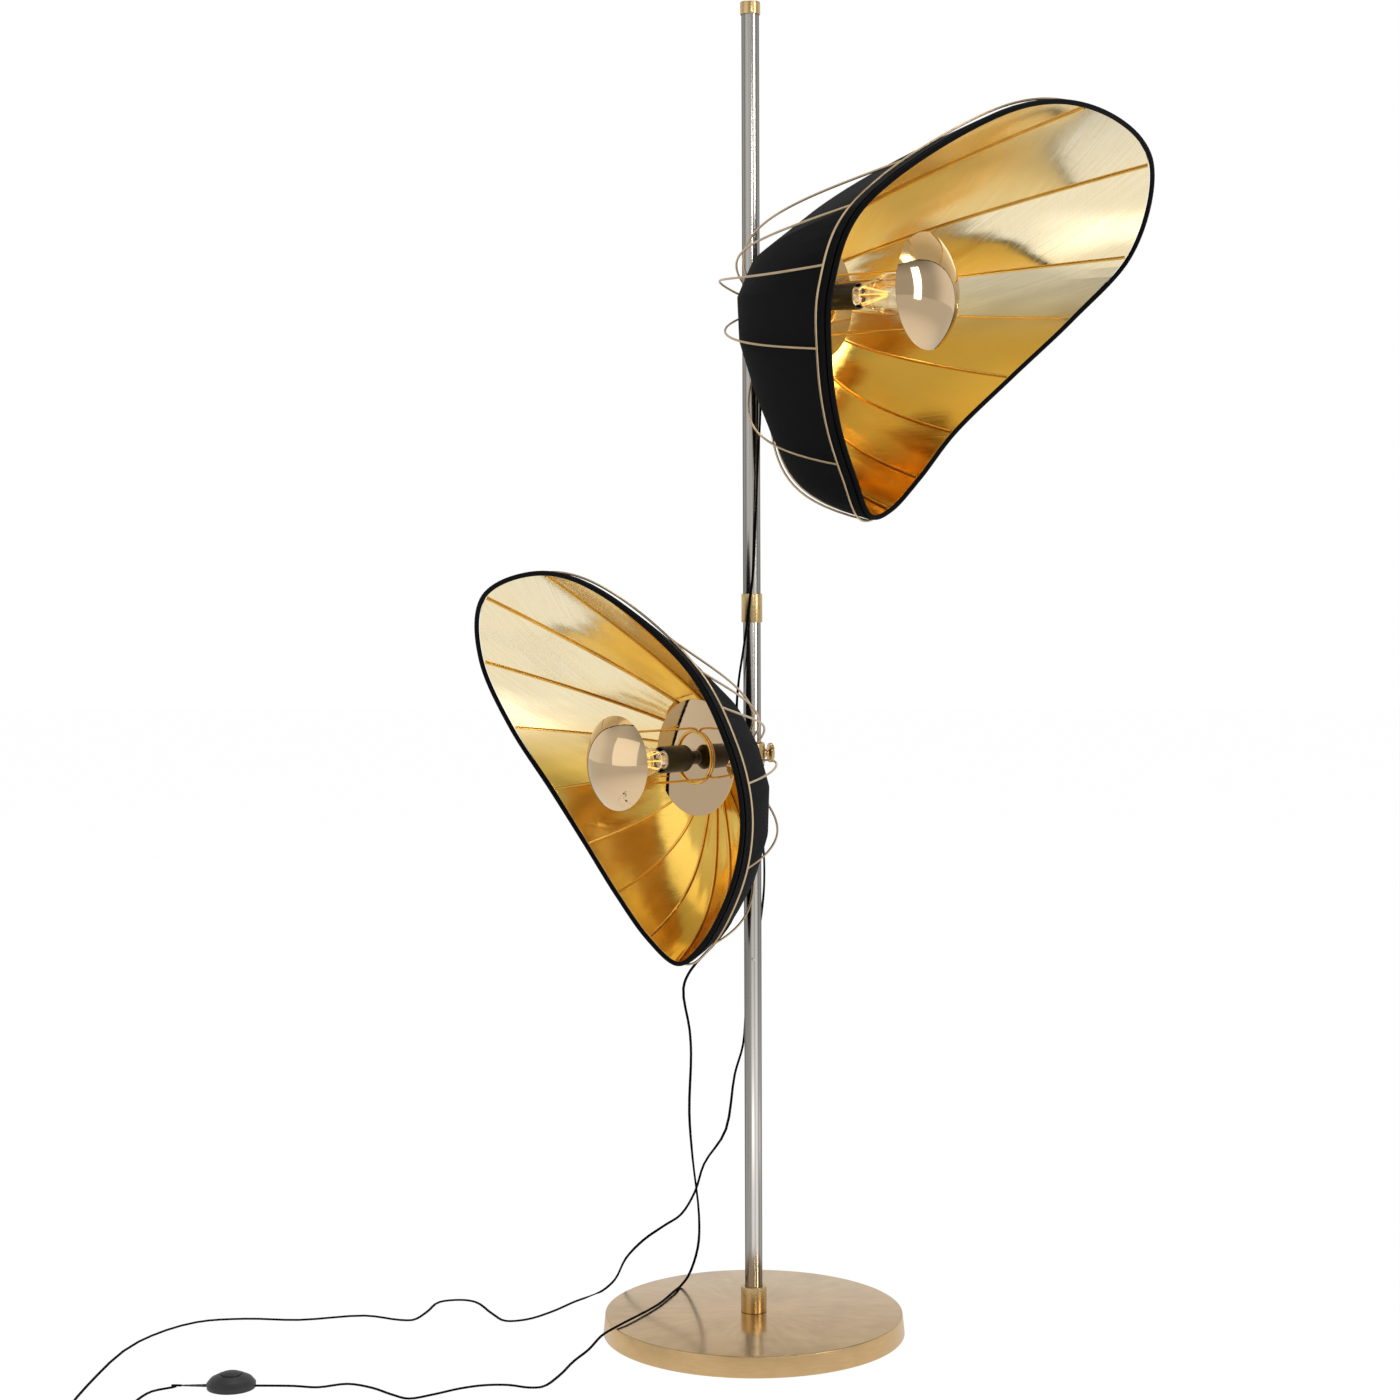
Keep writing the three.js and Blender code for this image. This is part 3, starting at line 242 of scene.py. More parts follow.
# The plug's boot where it flares into the body: (share of its radius, place along the plug).
FLARE = ((1.7, -4), (1.8, 1))

# How finely curves are drawn: steps along each, and sides round each wire.
STEPS = Sizes(lead=4, dome_wire=6, dome_ring=64, rib=40, hole=96, rim=240, hoop=200, stay=32,
              hook=4, neck=12, ball=24, strand=4, strand_ring=24)
SIDES = Sizes(coil=12, dome_wire=12, rib=10, binding=16, hoop=12, stay=10, strand=8,
              strand_ring=6)

NODE_BODY = {
    node: body for body, nodes in frame["record"]["behaviour"]["bodies"].items() for node in nodes}


class LampSizes(bpy.types.PropertyGroup):
    """Sizes that a user may change."""

    pole_radius: FloatProperty(
        name="Pole radius", description="Outside radius of both pole tubes", default=0.012,
        unit="LENGTH")
    cage_wire: FloatProperty(
        name="Cage wire radius", description="Radius of the brass wires round the back",
        default=0.0015, unit="LENGTH")
    rib_wire: FloatProperty(
        name="Rib radius", description="Radius of the gold ribs inside a shade", default=0.0013,
        unit="LENGTH")
    binding: FloatProperty(
        name="Binding radius", description="Radius of the cloth binding on a rim", default=0.0032,
        unit="LENGTH")
    tautness: FloatProperty(
        name="Tautness", description="How flat the skins are between two ribs", default=0.85,
        min=0.0, max=1.0, subtype="FACTOR")


class LampFinishes(bpy.types.PropertyGroup):
    """Colours that a user may change."""

    brass: FloatVectorProperty(
        name="Brass", description="Polished brass of the base and clamps",
        default=(0.66, 0.47, 0.22), subtype="COLOR", min=0.0, max=1.0)
    # Both foil colours are painted light: the paler one stands for bright reflections high in a
    # shade, the deeper one for painted shade and reflections low in it.
    foil: FloatVectorProperty(
        name="Foil", description="Gold lining high in a shade", default=(0.92, 0.81, 0.56),
        subtype="COLOR", min=0.0, max=1.0)
    painted_shade_foil: FloatVectorProperty(
        name="Deep foil", description="Gold lining low in a shade", default=(0.92, 0.60, 0.12),
        subtype="COLOR", min=0.0, max=1.0)
    cloth: FloatVectorProperty(
        name="Cloth", description="Black cloth outside the shades",
        default=(0.0055, 0.0055, 0.0062), subtype="COLOR", min=0.0, max=1.0)
    steel: FloatVectorProperty(
        name="Steel", description="Brushed steel of the pole", default=(0.58, 0.55, 0.51),
        subtype="COLOR", min=0.0, max=1.0)
    wire: FloatVectorProperty(
        name="Cage wire", description="Pale brass of the cage", default=(0.60, 0.44, 0.26),
        subtype="COLOR", min=0.0, max=1.0)
    mirror: FloatVectorProperty(
        name="Mirror", description="Tinted mirror of plate and dome", default=(0.76, 0.56, 0.34),
        subtype="COLOR", min=0.0, max=1.0)


# Shader maths.
class Sock:
    """An output socket, or a number, that sums and products can be written with."""

    def __init__(self, look, socket):
        self.look = look
        self.socket = socket

    def maths(self, operation, *others):
        values = dict(enumerate((self, *others)))
        return self.look.node("ShaderNodeMath", {"operation": operation}, values)

    def __add__(self, other):
        return self.maths("ADD", other)

    def __sub__(self, other):
        return self.maths("SUBTRACT", other)

    def __mul__(self, other):
        return self.maths("MULTIPLY", other)

    def __truediv__(self, other):
        return self.maths("DIVIDE", other)

    def __pow__(self, other):
        return self.maths("POWER", other)

    def __rsub__(self, other):
        return self.maths("MULTIPLY", -1) + other

    __radd__ = __add__
    __rmul__ = __mul__

    def clamped(self):
        return self.look.node("ShaderNodeClamp", {}, {"Value": self}, out="Result")


class Look:
    """The node tree of a material or of the world, under construction."""

    def __init__(self, owner):
        self.owner = owner
        owner.use_nodes = True
        self.tree = owner.node_tree
        self.tree.nodes.clear()

    def node(self, kind, settings=None, values=None, out=0):
        made = self.tree.nodes.new(kind)
        for key, value in (settings or {}).items():
            if key == "stops":
                self.set_stops(made.color_ramp, value)
            else:
                setattr(made, key, value)
        for key, value in (values or {}).items():
            if isinstance(value, Sock):
                self.tree.links.new(value.socket, made.inputs[key])
            else:
                made.inputs[key].default_value = value
        return Sock(self, made.outputs[out]) if made.outputs else made

    @staticmethod
    def set_stops(ramp, stops):
        while len(ramp.elements) < len(stops):
            ramp.elements.new(1.0)
        for element, (place, colour) in zip(ramp.elements, stops):
            element.position = place
            element.color = (*colour, 1.0)

    def place(self):
        return self.node("ShaderNodeTexCoord", out="Object")

    def stretched(self, scale):
        """The place on the object, stretched by a scale on each axis."""
        return self.node("ShaderNodeMapping", {}, {"Vector": self.place(), "Scale": scale})

    def noise(self, vector, scale, detail=4.0, roughness=0.55):
        values = {"Vector": vector, "Scale": scale, "Detail": detail, "Roughness": roughness}
        return self.node("ShaderNodeTexNoise", {}, values, out="Fac")

    def axes(self, vector):
        return [self.node("ShaderNodeSeparateXYZ", {}, {0: vector}, out=axis) for axis in "XYZ"]

    def vector(self, x, y, z):
        return self.node("ShaderNodeCombineXYZ", {}, {"X": x, "Y": y, "Z": z})

    def ray(self, kind):
        return self.node("ShaderNodeLightPath", out=f"Is {kind} Ray")

    def shaders(self, factor, first, second):
        return self.node("ShaderNodeMixShader", {}, {0: factor, 1: first, 2: second})

    def attribute(self, name):
        return self.node("ShaderNodeAttribute", {"attribute_name": name}, out="Fac")

    def band(self, value, low, high):
        """0 below low, 1 above high, smooth between."""
        values = {"Value": value, "From Min": low, "From Max": high}
        return self.node("ShaderNodeMapRange", {"interpolation_type": "SMOOTHSTEP"}, values)

    def mix(self, factor, first, second):
        values = {0: factor}
        for socket, colour in ((6, first), (7, second)):
            values[socket] = colour if isinstance(colour, Sock) else (*colour, 1.0)
        return self.node("ShaderNodeMix", {"data_type": "RGBA"}, values, out=2)

    def bump(self, height, distance):
        values = {"Height": height, "Distance": distance, "Strength": 1.0}
        return self.node("ShaderNodeBump", {}, values)

    def surface(self, values):
        colour = values.get("Base Color")
        if colour is not None and not isinstance(colour, Sock):
            values["Base Color"] = (*colour, 1.0)
        shader = self.node("ShaderNodeBsdfPrincipled", {}, values)
        self.node("ShaderNodeOutputMaterial", {}, {"Surface": shader})
        return self.owner


def shade(colour, factor):
    """A colour made darker or lighter."""
    return tuple(min(1.0, c * factor) for c in colour)


def finishes():
    return bpy.context.scene.lamp_finishes


def mirror_brass(look):
    """Polished brass with the cloudy marks of the base's top, brushed on its side."""
    colour = tuple(finishes().brass)
    x, y, z = look.axes(look.place())
    radius = (x * x + y * y) ** 0.5
    turn = y.maths("ARCTAN2", x)
    side = look.band(radius, *BASE_EDGE)
    cloud = look.noise(look.place(), 14.0, 6.0, 0.6)
    smear = look.noise(look.vector(turn * 5.0, radius * 9.0, 0.0), 2.0, 5.0, 0.6)
    lines = look.noise(look.vector(turn * 9.0, z * 320.0, 0.0), 1.0, 3.0, 0.6)
    patina = (cloud * 0.6 + smear * 0.4 - 0.42) * 3.0
    worn = (colour[0] * 0.85, colour[1] * 0.8, colour[2] * 0.82)
    base = look.mix(patina.clamped() * 0.85, shade(worn, 1.06), shade(worn, 0.72))
    base = look.mix(side * 0.8, base, look.mix(lines, shade(worn, 0.9), shade(worn, 1.3)))
    rough = 0.1 + cloud * 0.1 + smear * 0.06 + side * (0.1 + lines * 0.1)
    height = lines * side * 0.15 + smear * 0.2
    return look.surface({
        "Base Color": base, "Metallic": 1.0, "Roughness": rough,
        "Normal": look.bump(height, 0.00006),
    })


def turned_brass(look):
    """Brass turned on a lathe: fine lines round the axis, a little tarnish."""
    colour = tuple(finishes().brass)
    z = look.axes(look.place())[2]
    lines = look.noise(look.vector(0.0, 0.0, z * 2600.0), 1.0, 2.0, 0.6)
    cloud = look.noise(look.place(), 60.0, 5.0, 0.6)
    base = look.mix((cloud * 1.6 - 0.4).clamped(), shade(colour, 0.8), shade(colour, 1.1))
    return look.surface({
        "Base Color": base, "Metallic": 1.0, "Roughness": 0.17 + lines * 0.12 + cloud * 0.08,
        "Normal": look.bump(lines, 0.00003),
    })


def brushed_steel(look):
    """Drawn steel tube: fine lines along its length, painted reflections as light and dark streaks
    round it, and a scuff where a clamp has slid.
    """
    colour = tuple(finishes().steel)
    x, y, z = look.axes(look.place())
    turn = y.maths("ARCTAN2", x)
    drawn = look.noise(look.vector(turn * 26.0, z * 0.8, 0.0), 1.0, 2.0, 0.5)
    broad = look.noise(look.vector(turn * 5.0, z * 0.25, 3.0), 1.0, 1.0, 0.5)
    scratch = look.noise(look.stretched((260.0, 260.0, 900.0)), 1.0, 3.0, 0.7)
    low, high = SCUFF
    scuffed = look.band(z, *low) * (1 - look.band(z, *high))
    scuff = look.band(scratch, 0.56, 0.66) * scuffed
    streak = look.band(drawn * 0.45 + broad * 0.55, 0.34, 0.66)
    # Painted reflections: fixed streaks of light and shade round the pole set most of its colour.
    painted_reflection = look.node("ShaderNodeValToRGB", {"stops": POLE_PAINTED_REFLECTIONS}, {"Fac": turn / FULL_TURN + 0.5})
    base = look.mix(streak * 0.2 + painted_reflection * 0.8, shade(colour, 0.18), shade(colour, 1.5))
    base = look.mix(scuff * 0.7, base, (0.30, 0.27, 0.24))
    return look.surface({
        "Base Color": base, "Metallic": 1.0,
        "Roughness": 0.12 + drawn * 0.1 + scuff * 0.3, "Specular Tint": (0.4, 0.36, 0.31, 1.0),
        "Normal": look.bump(scuff, 0.00001),
    })


def gold_foil(look):
    """Gold foil over ribs: brush lines across each panel, with painted reflections that make it
    paler above and painted shade that makes it deeper below.
    """
    painted_lit_foil, deep = tuple(finishes().foil), tuple(finishes().painted_shade_foil)
    around, along, height = (look.attribute(key) for key in ("around", "along", "height"))
    panel = around.maths("FLOOR")
    own = look.node(
        "ShaderNodeTexWhiteNoise", {"noise_dimensions": "1D"}, {"W": panel}, out="Value")
    brushed = look.noise(look.vector(along * 1900.0, around * 5.0, panel * 7.3), 1.0, 4.0, 0.65)
    slanted = look.vector(along * 320.0 + around * 40.0, around * 1.5, panel * 3.1)
    lines = look.noise(slanted, 1.0, 4.0, 0.65)
    crease = look.noise(look.vector(along * 5.0, around * 1.1, panel * 5.0), 1.0, 2.0, 0.5)
    # Painted reflection and shade by height: the pale lit colour high up, the deep colour lower
    # down and a darker painted amber at the bottom.
    painted_deep_reflection = 1 - look.band(height + own * 0.12, 0.55, 0.78)
    low = 1 - look.band(height + own * 0.1, 0.12, 0.42)
    painted_shade_amber = (deep[0] * 0.8, deep[1] * 0.62, deep[2] * 0.25)
    base = look.mix(low * 0.9, look.mix(painted_deep_reflection, painted_lit_foil, deep), painted_shade_amber)
    marks = look.band(brushed * 0.35 + lines * 0.65, 0.4, 0.66)
    base = look.mix(marks * 0.3, base, shade(deep, 0.85))
    rough = 0.06 + marks * 0.1 + own * 0.05
    relief = brushed * 0.15 + lines * 0.5 + crease * 16.0
    return look.surface({
        "Base Color": base, "Metallic": 1.0, "Roughness": rough,
        "Normal": look.bump(relief, 0.00012),
    })


def black_cloth(look):
    """Tight black cloth: a fine plain weave, with slubs and a trace of dust."""
    colour = tuple(finishes().cloth)
    around, along = look.attribute("around"), look.attribute("along")
    weft = (along * WEFT).maths("SINE")
    warp = (around * WARP).maths("SINE")
    weave = weft * warp * 0.5 + 0.5
    slub = look.noise(look.vector(along * 700.0, around * 4.0, 0.0), 1.0, 3.0, 0.6)
    dust = look.noise(look.place(), 420.0, 3.0, 0.7)
    base = look.mix(weave * 0.4 + slub * 0.6, shade(colour, 0.7), shade(colour, 1.5))
    base = look.mix(look.band(dust, 0.66, 0.8) * 0.25, base, (0.09, 0.09, 0.1))
    return look.surface({
        "Base Color": base, "Roughness": 0.82 + slub * 0.12, "Sheen Weight": 0.02,
        "Sheen Roughness": 0.5, "Specular IOR Level": 0.1,
        "Normal": look.bump(weave * 0.6 + slub, 0.00018),
    })


def bound_cloth(look):
    """The same black cloth, rolled over the rim."""
    colour = tuple(finishes().cloth)
    weave = look.noise(look.place(), 1500.0, 2.0, 0.6)
    folds = look.noise(look.place(), 130.0, 4.0, 0.6)
    base = look.mix(weave * 0.5 + folds * 0.5, shade(colour, 0.7), shade(colour, 1.5))
    return look.surface({
        "Base Color": base, "Roughness": 0.85 + folds * 0.1, "Sheen Weight": 0.02,
        "Sheen Roughness": 0.5, "Specular IOR Level": 0.1,
        "Normal": look.bump(weave * 0.3 + folds, 0.0004),
    })


def metal_wire(look, colour, rough, tarnish):
    """Drawn wire with slight tarnish."""
    cloud = look.noise(look.place(), 45.0, 5.0, 0.6)
    grain = look.noise(look.place(), 900.0, 2.0, 0.6)
    base = look.mix((cloud * 2.0 - 0.6).clamped() * tarnish, shade(colour, 1.1), shade(colour, 0.6))
    return look.surface({
        "Base Color": base, "Metallic": 1.0, "Roughness": rough + grain * 0.12 + cloud * 0.06,
        "Normal": look.bump(grain, 0.00003),
    })


def mirror(look, colour, rough, haze):
    """A polished mirror with wiped marks and a little dust."""
    wiped = look.noise(look.stretched((30.0, 30.0, 90.0)), 1.0, 4.0, 0.6)
    dust = look.noise(look.place(), 900.0, 2.0, 0.7)
    dusty = look.band(dust, 0.7, 0.8)
    base = look.mix(wiped * 0.3 + dusty * 0.25, colour, shade(colour, 0.78))
    return look.surface({
        "Base Color": base, "Metallic": 1.0, "Roughness": rough + wiped * haze + dusty * 0.1,
        "Normal": look.bump(wiped, 0.00005),
    })


def dark_plastic(look, colour, rough, grain_scale, depth, shine=0.5):
    """Moulded black plastic or rubber with a fine grain."""
    grain = look.noise(look.place(), grain_scale, 3.0, 0.6)
    cloud = look.noise(look.place(), 25.0, 4.0, 0.5)
    base = look.mix(cloud * 0.6 + grain * 0.4, shade(colour, 0.75), shade(colour, 1.35))
    return look.surface({
        "Base Color": base, "Roughness": rough + grain * 0.12 + cloud * 0.06,
        "Specular IOR Level": shine, "Normal": look.bump(grain, depth),
    })


def clear_glass(look):
    ripple = look.noise(look.place(), 35.0, 2.0, 0.5)
    return look.surface({
        "Base Color": look.mix(ripple * 0.2, (1.0, 0.99, 0.97), (0.97, 0.95, 0.9)),
        "Roughness": 0.01 + ripple * 0.01, "Transmission Weight": 1.0, "IOR": 1.45,
    })


def warm_filament(look):
    grain = look.noise(look.place(), 700.0, 2.0, 0.5)
    glow = look.mix(grain, (1.0, 0.42, 0.06), (1.0, 0.62, 0.18))
    return look.surface({
        "Base Color": (0.9, 0.55, 0.12), "Roughness": 0.5,
        "Emission Color": glow, "Emission Strength": 1.6,
    })


def cast_iron(look):
    grain = look.noise(look.place(), 260.0, 6.0, 0.7)
    return look.surface({
        "Base Color": look.mix(grain, (0.05, 0.05, 0.05), (0.14, 0.13, 0.12)), "Metallic": 0.7,
        "Roughness": 0.6 + grain * 0.3, "Normal": look.bump(grain, 0.0004),
    })


def grey_felt(look):
    fibre = look.noise(look.stretched((900.0, 600.0, 900.0)), 1.0, 5.0, 0.75)
    return look.surface({
        "Base Color": look.mix(fibre, (0.01, 0.01, 0.01), (0.05, 0.05, 0.05)), "Roughness": 0.95,
        "Normal": look.bump(fibre, 0.0006),
    })


CAST_BLACK = {
    "holder_black": ((0.012, 0.011, 0.010), 0.24, 700.0, 0.00005),
    "nylon_black": ((0.015, 0.015, 0.015), 0.45, 900.0, 0.00008),
    "lead_black": ((0.003, 0.003, 0.003), 0.7, 1400.0, 0.00002, 0.06),
    "switch_black": ((0.03, 0.03, 0.032), 0.42, 1100.0, 0.0001),
}
MAKERS = {
    "mirror_brass": mirror_brass,
    "turned_brass": turned_brass,
    "brushed_steel": brushed_steel,
    "gold_foil": gold_foil,
    "black_cloth": black_cloth,
    "bound_cloth": bound_cloth,
    "cage_wire": lambda look: metal_wire(look, tuple(finishes().wire), 0.22, 0.5),
    "gold_wire": lambda look: metal_wire(look, (0.84, 0.52, 0.12), 0.2, 0.5),
    "plate_mirror": lambda look: mirror(look, shade(finishes().mirror, 0.94), 0.015, 0.03),
    "dome_mirror": lambda look: mirror(look, tuple(finishes().mirror), 0.03, 0.04),
    "cap_metal": lambda look: metal_wire(look, (0.75, 0.66, 0.48), 0.25, 0.3),
    "clear_glass": clear_glass,
    "warm_filament": warm_filament,
    "cast_iron": cast_iron,
    "grey_felt": grey_felt,
    "plain_steel": lambda look: metal_wire(look, (0.55, 0.54, 0.52), 0.3, 0.4),
}


def finish(name):
    """A finish by name, made once."""
    made = bpy.data.materials.get(OWN_PREFIX + name)
    if made:
        return made
    look = Look(bpy.data.materials.new(OWN_PREFIX + name))
    return dark_plastic(look, *CAST_BLACK[name]) if name in CAST_BLACK else MAKERS[name](look)


# Shapes.
class Shape:
    """Points in millimetres and faces, gathered before one mesh is made of them."""

    def __init__(self):
        self.points = []
        self.faces = []

    def add(self, points, faces):
        start = len(self.points)
        self.points.extend([tuple(float(v) for v in p) for p in points])
        self.faces.extend([tuple(start + i for i in face) for face in faces])
        return self

    def join(self, other):
        return self.add(other.points, other.faces)

    def moved(self, change):
        self.points = [tuple(p) for p in change(np.array(self.points, float))]
        return self


def unit(v):
    return v / np.linalg.norm(v)


def spin(outline, facets):
    """Turns a closed outline of (radius, height) about Z. A point on the axis stays one point."""
    points, rows = [], []
    for radius, height in outline:
        if radius < 1e-6:
            rows.append([len(points)])
            points.append((0.0, 0.0, height))
            continue
        rows.append([len(points) + i for i in range(facets)])
        for i in range(facets):
            angle = FULL_TURN * i / facets
            points.append((radius * math.cos(angle), radius * math.sin(angle), height))
    faces = []
    for low, high in zip(rows, rows[1:] + rows[:1]):
        if len(low) == 1 and len(high) == 1:
            continue
        for i in range(facets):
            j = (i + 1) % facets
            if len(low) == 1:
                faces.append((low[0], high[j], high[i]))
            elif len(high) == 1:
                faces.append((low[i], low[j], high[0]))
            else:
                faces.append((low[i], low[j], high[j], high[i]))
    return points, faces


def rounded(outline, steps=4):
    """Rounds the corners of a closed outline where a third number gives a radius."""
    result = []
    count = len(outline)
    for i, corner in enumerate(outline):
        if len(corner) == 2:
            result.append(corner)
            continue
        here = np.array(corner[:2], float)
        before = unit(np.array(outline[i - 1][:2], float) - here)
        after = unit(np.array(outline[(i + 1) % count][:2], float) - here)
        half = math.acos(max(-1.0, min(1.0, float(before @ after)))) / 2
        reach = corner[2] / math.tan(half)
        centre = here + unit(before + after) * corner[2] / math.sin(half)
        start, end = here + before * reach - centre, here + after * reach - centre
        for k in range(steps + 1):
            arm = unit(start + (end - start) * k / steps) * corner[2]
            result.append(tuple(centre + arm))
    return result


def turned(outline, facets, steps=4):
    """A shape turned about Z, with its corners rounded."""
    return Shape().add(*spin(rounded(outline, steps), facets))


def cylinder(radius, low, high, facets):
    return turned([(0, low), (radius, low), (radius, high), (0, high)], facets)


def along_x(points):
    """From an axis along Z to one along X."""
    return np.asarray(points, float)[:, [2, 0, 1]]


def turn_z(points, degrees):
    angle = math.radians(degrees)
    points = np.asarray(points, float)
    result = points.copy()
    result[:, 0] = points[:, 0] * math.cos(angle) - points[:, 1] * math.sin(angle)
    result[:, 1] = points[:, 0] * math.sin(angle) + points[:, 1] * math.cos(angle)
    return result


def on_pole(head, points):
    return turn_z(points, head["turn"]) + (0, 0, head["height"])


def circle(radius, sides):
    angles = FULL_TURN * np.arange(sides) / sides
    return np.stack([radius * np.cos(angles), radius * np.sin(angles)], -1)


def wrap(rows, ring, closed=False):
    """Faces round a row of rings. The ends are capped unless the row closes on itself."""
    faces = []
    for i in range(rows if closed else rows - 1):
        k = (i + 1) % rows
        for j in range(ring):
            m = (j + 1) % ring
            faces.append((i * ring + j, i * ring + m, k * ring + m, k * ring + j))
    if not closed:
        faces += [tuple(range(ring))[::-1], tuple((rows - 1) * ring + j for j in range(ring))]
    return faces


def tube(route, section, closed=False, side=None, twist=None):
    """A tube along a route. Its section is carried along without turning, or by a twist."""
    route = np.asarray(route, float)
    count = len(route)
    before = np.roll(route, 1, 0) if closed else np.concatenate([route[:1], route[:-1]])
    after = np.roll(route, -1, 0) if closed else np.concatenate([route[1:], route[-1:]])
    heading = after - before
    heading /= np.linalg.norm(heading, axis=1)[:, None]
    if side is None:
        side = np.cross((0, 0, 1), heading[0])
        if np.linalg.norm(side) < 0.2:
            side = np.cross((0, 1, 0), heading[0])
    sides = []
    for step in heading:
        side = unit(side - step * (side @ step))
        sides.append(side)
    slip = 0.0
    if closed:
        last = unit(sides[-1] - heading[0] * (sides[-1] @ heading[0]))
        slip = math.atan2(np.cross(sides[0], last) @ heading[0], sides[0] @ last)
    points = []
    for i in range(count):
        other = np.cross(heading[i], sides[i])
        angle = -slip * i / count + (twist[i] if twist is not None else 0.0)
        a = math.cos(angle) * sides[i] + math.sin(angle) * other
        b = np.cross(heading[i], a)
        points.extend(route[i] + section[:, :1] * a + section[:, 1:] * b)
    return points, wrap(count, len(section), closed)


def swept(route, section, **more):
    return Shape().add(*tube(route, section, **more))


def catmull(points, share, closed=True):
    """The part's own curve: centripetal, through every point."""
    count = len(points)
    place = (count if closed else count - 1) * share
    first = math.floor(place)
    part = place - first
    if not closed and first == count - 1:
        first, part = count - 2, 1.0

    def pick(i):
        if closed:
            return points[i % count]
        if i < 0:
            return 2 * points[0] - points[1]
        if i > count - 1:
            return 2 * points[-1] - points[-2]
        return points[i]

    p0, p1, p2, p3 = (pick(first + k) for k in (-1, 0, 1, 2))
    d0, d1, d2 = (np.linalg.norm(b - a) ** 0.5 for a, b in ((p0, p1), (p1, p2), (p2, p3)))
    m1 = ((p1 - p0) / d0 - (p2 - p0) / (d0 + d1) + (p2 - p1) / d1) * d1
    m2 = ((p2 - p1) / d1 - (p3 - p1) / (d1 + d2) + (p3 - p2) / d2) * d1
    square, cube = 3 * (p2 - p1) - 2 * m1 - m2, 2 * (p1 - p2) + m1 + m2
    return p1 + m1 * part + square * part ** 2 + cube * part ** 3


def smoothstep(value, low=0.0, high=1.0):
    share = np.clip((np.asarray(value, float) - low) / (high - low), 0, 1)
    return share * share * (3 - 2 * share)


class Bowl:
    """A shade's skin, as in the part's source: along is -1 at the hole, 1 at the rim."""

    STEP = 0.01
    SAMPLES = 3000
    FOLLOWS = 0.7

    def __init__(self, head, powers):
        self.ribs = len(head["side"])
        self.powers = powers
        width = head["far"] * head["half_width"]
        corners = [
            np.array([head["reach"] * out, width * side, head["half_height"] * up])
            for side, up, out in zip(head["side"], head["up"], head["out"])
        ]
        self.edge = np.array([catmull(corners, i / self.SAMPLES) for i in range(self.SAMPLES)])

    def rim(self, turn):
        place = (np.asarray(turn, float) % 1) * self.SAMPLES
        first = np.floor(place).astype(int)
        part = (place - first)[..., None]
        start, end = self.edge[first % self.SAMPLES], self.edge[(first + 1) % self.SAMPLES]
        return start * (1 - part) + end * part

    @staticmethod
    def grid(turn, along):
        return np.broadcast_arrays(np.asarray(turn, float), np.asarray(along, float))

    def place(self, turn, along):
        turn, along = self.grid(turn, along)
        end = self.rim(turn)
        top, bottom, droop = self.powers
        fall = ((1 - np.cos(FULL_TURN * turn)) / 2) ** droop
        power = top + (bottom - top) * fall
        length = np.hypot(end[..., 1], end[..., 2])
        stretch = np.where(along < 0, BOWL.flat - BOWL.hole, length - BOWL.flat)
        share = (BOWL.flat + stretch * along) / length
        depth = BOWL.bottom + (end[..., 0] - BOWL.bottom) * np.maximum(along, 0) ** power
        return np.stack([depth, end[..., 1] * share, end[..., 2] * share], -1)

    def across(self, turn, along):
        return self.place(turn + self.STEP, along) - self.place(turn - self.STEP, along)

    def run(self, turn, along):
        return self.place(turn, along + self.STEP) - self.place(turn, along - self.STEP)

    def back(self, turn, along):
        turn, along = self.grid(turn, along)
        normal = np.cross(self.across(turn, along), self.run(turn, along))
        normal /= np.linalg.norm(normal, axis=-1)[..., None]
        return np.where(normal[..., :1] > 0, -normal, normal)

    def offset(self, turn, along, depth):
        return self.place(turn, along) + self.back(turn, along) * np.asarray(depth)[..., None]

    def stop_short(self, turn, distance):
        rim = self.across(turn, 1.0)
        rim = rim / np.linalg.norm(rim, axis=-1)[..., None]
        square = np.linalg.norm(np.cross(self.run(turn, 1 - self.STEP), rim), axis=-1)
        return 1 - distance / (square / (2 * self.STEP))

    def panel(self, turn, along, depth, taut):
        """Between two ribs the skin is stretched nearly flat, but at the rim it follows the rim."""
        turn, along = self.grid(turn, along)
        first = np.floor(turn * self.ribs + 1e-9)
        part = (turn * self.ribs - first)[..., None]
        start = self.offset(first / self.ribs, along, depth)
        end = self.offset((first + 1) / self.ribs, along, depth)
        smooth = self.offset(turn, along, depth)
        weight = taut * (1 - smoothstep(along, self.FOLLOWS, 1.0))[..., None]
        return smooth + (start + (end - start) * part - smooth) * weight


def sizes():
    return bpy.context.scene.lamp_sizes


def new_object(name, points, faces, corners=None):
    """A mesh object in the scene, its faces turned outwards. Corners are values at face corners."""
    mesh = bpy.data.meshes.new(name)
    mesh.from_pydata(points, [], faces)
    for key, values in (corners or {}).items():
        mesh.attributes.new(key, "FLOAT", "CORNER").data.foreach_set("value", values)
    edit = bmesh.new()
    edit.from_mesh(mesh)
    bmesh.ops.recalc_face_normals(edit, faces=edit.faces)
    edit.to_mesh(mesh)
    edit.free()
    made = bpy.data.objects.new(name, mesh)
    bpy.context.scene.collection.objects.link(made)
    return made


def mesh_piece(
        name, shape, finish_name, nodes=(), body=None, slot=None, sharp=35.0, corners=None):
    """Makes one piece, rides it on its body and hides the CAD nodes it stands for."""
    points = [tuple(c * MM for c in p) for p in shape.points]
    made = new_object(name, points, shape.faces, corners)
    mesh = made.data
    mesh.polygons.foreach_set("use_smooth", [True] * len(mesh.polygons))
    mesh.set_sharp_from_angle(angle=math.radians(sharp))
    mesh.update()
    mesh.materials.append(finish(finish_name))
    if nodes:
        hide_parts(*nodes)
    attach(made, body or NODE_BODY[nodes[0]])
    return made


def head_piece(side, name, shape, finish_name, node, slot, **more):
    """A piece that stands for one CAD node of the upper or the lower side."""
    return mesh_piece(
        f"{side}_{name}", shape, finish_name, [f"{side}_{node}"], slot=slot, **more)


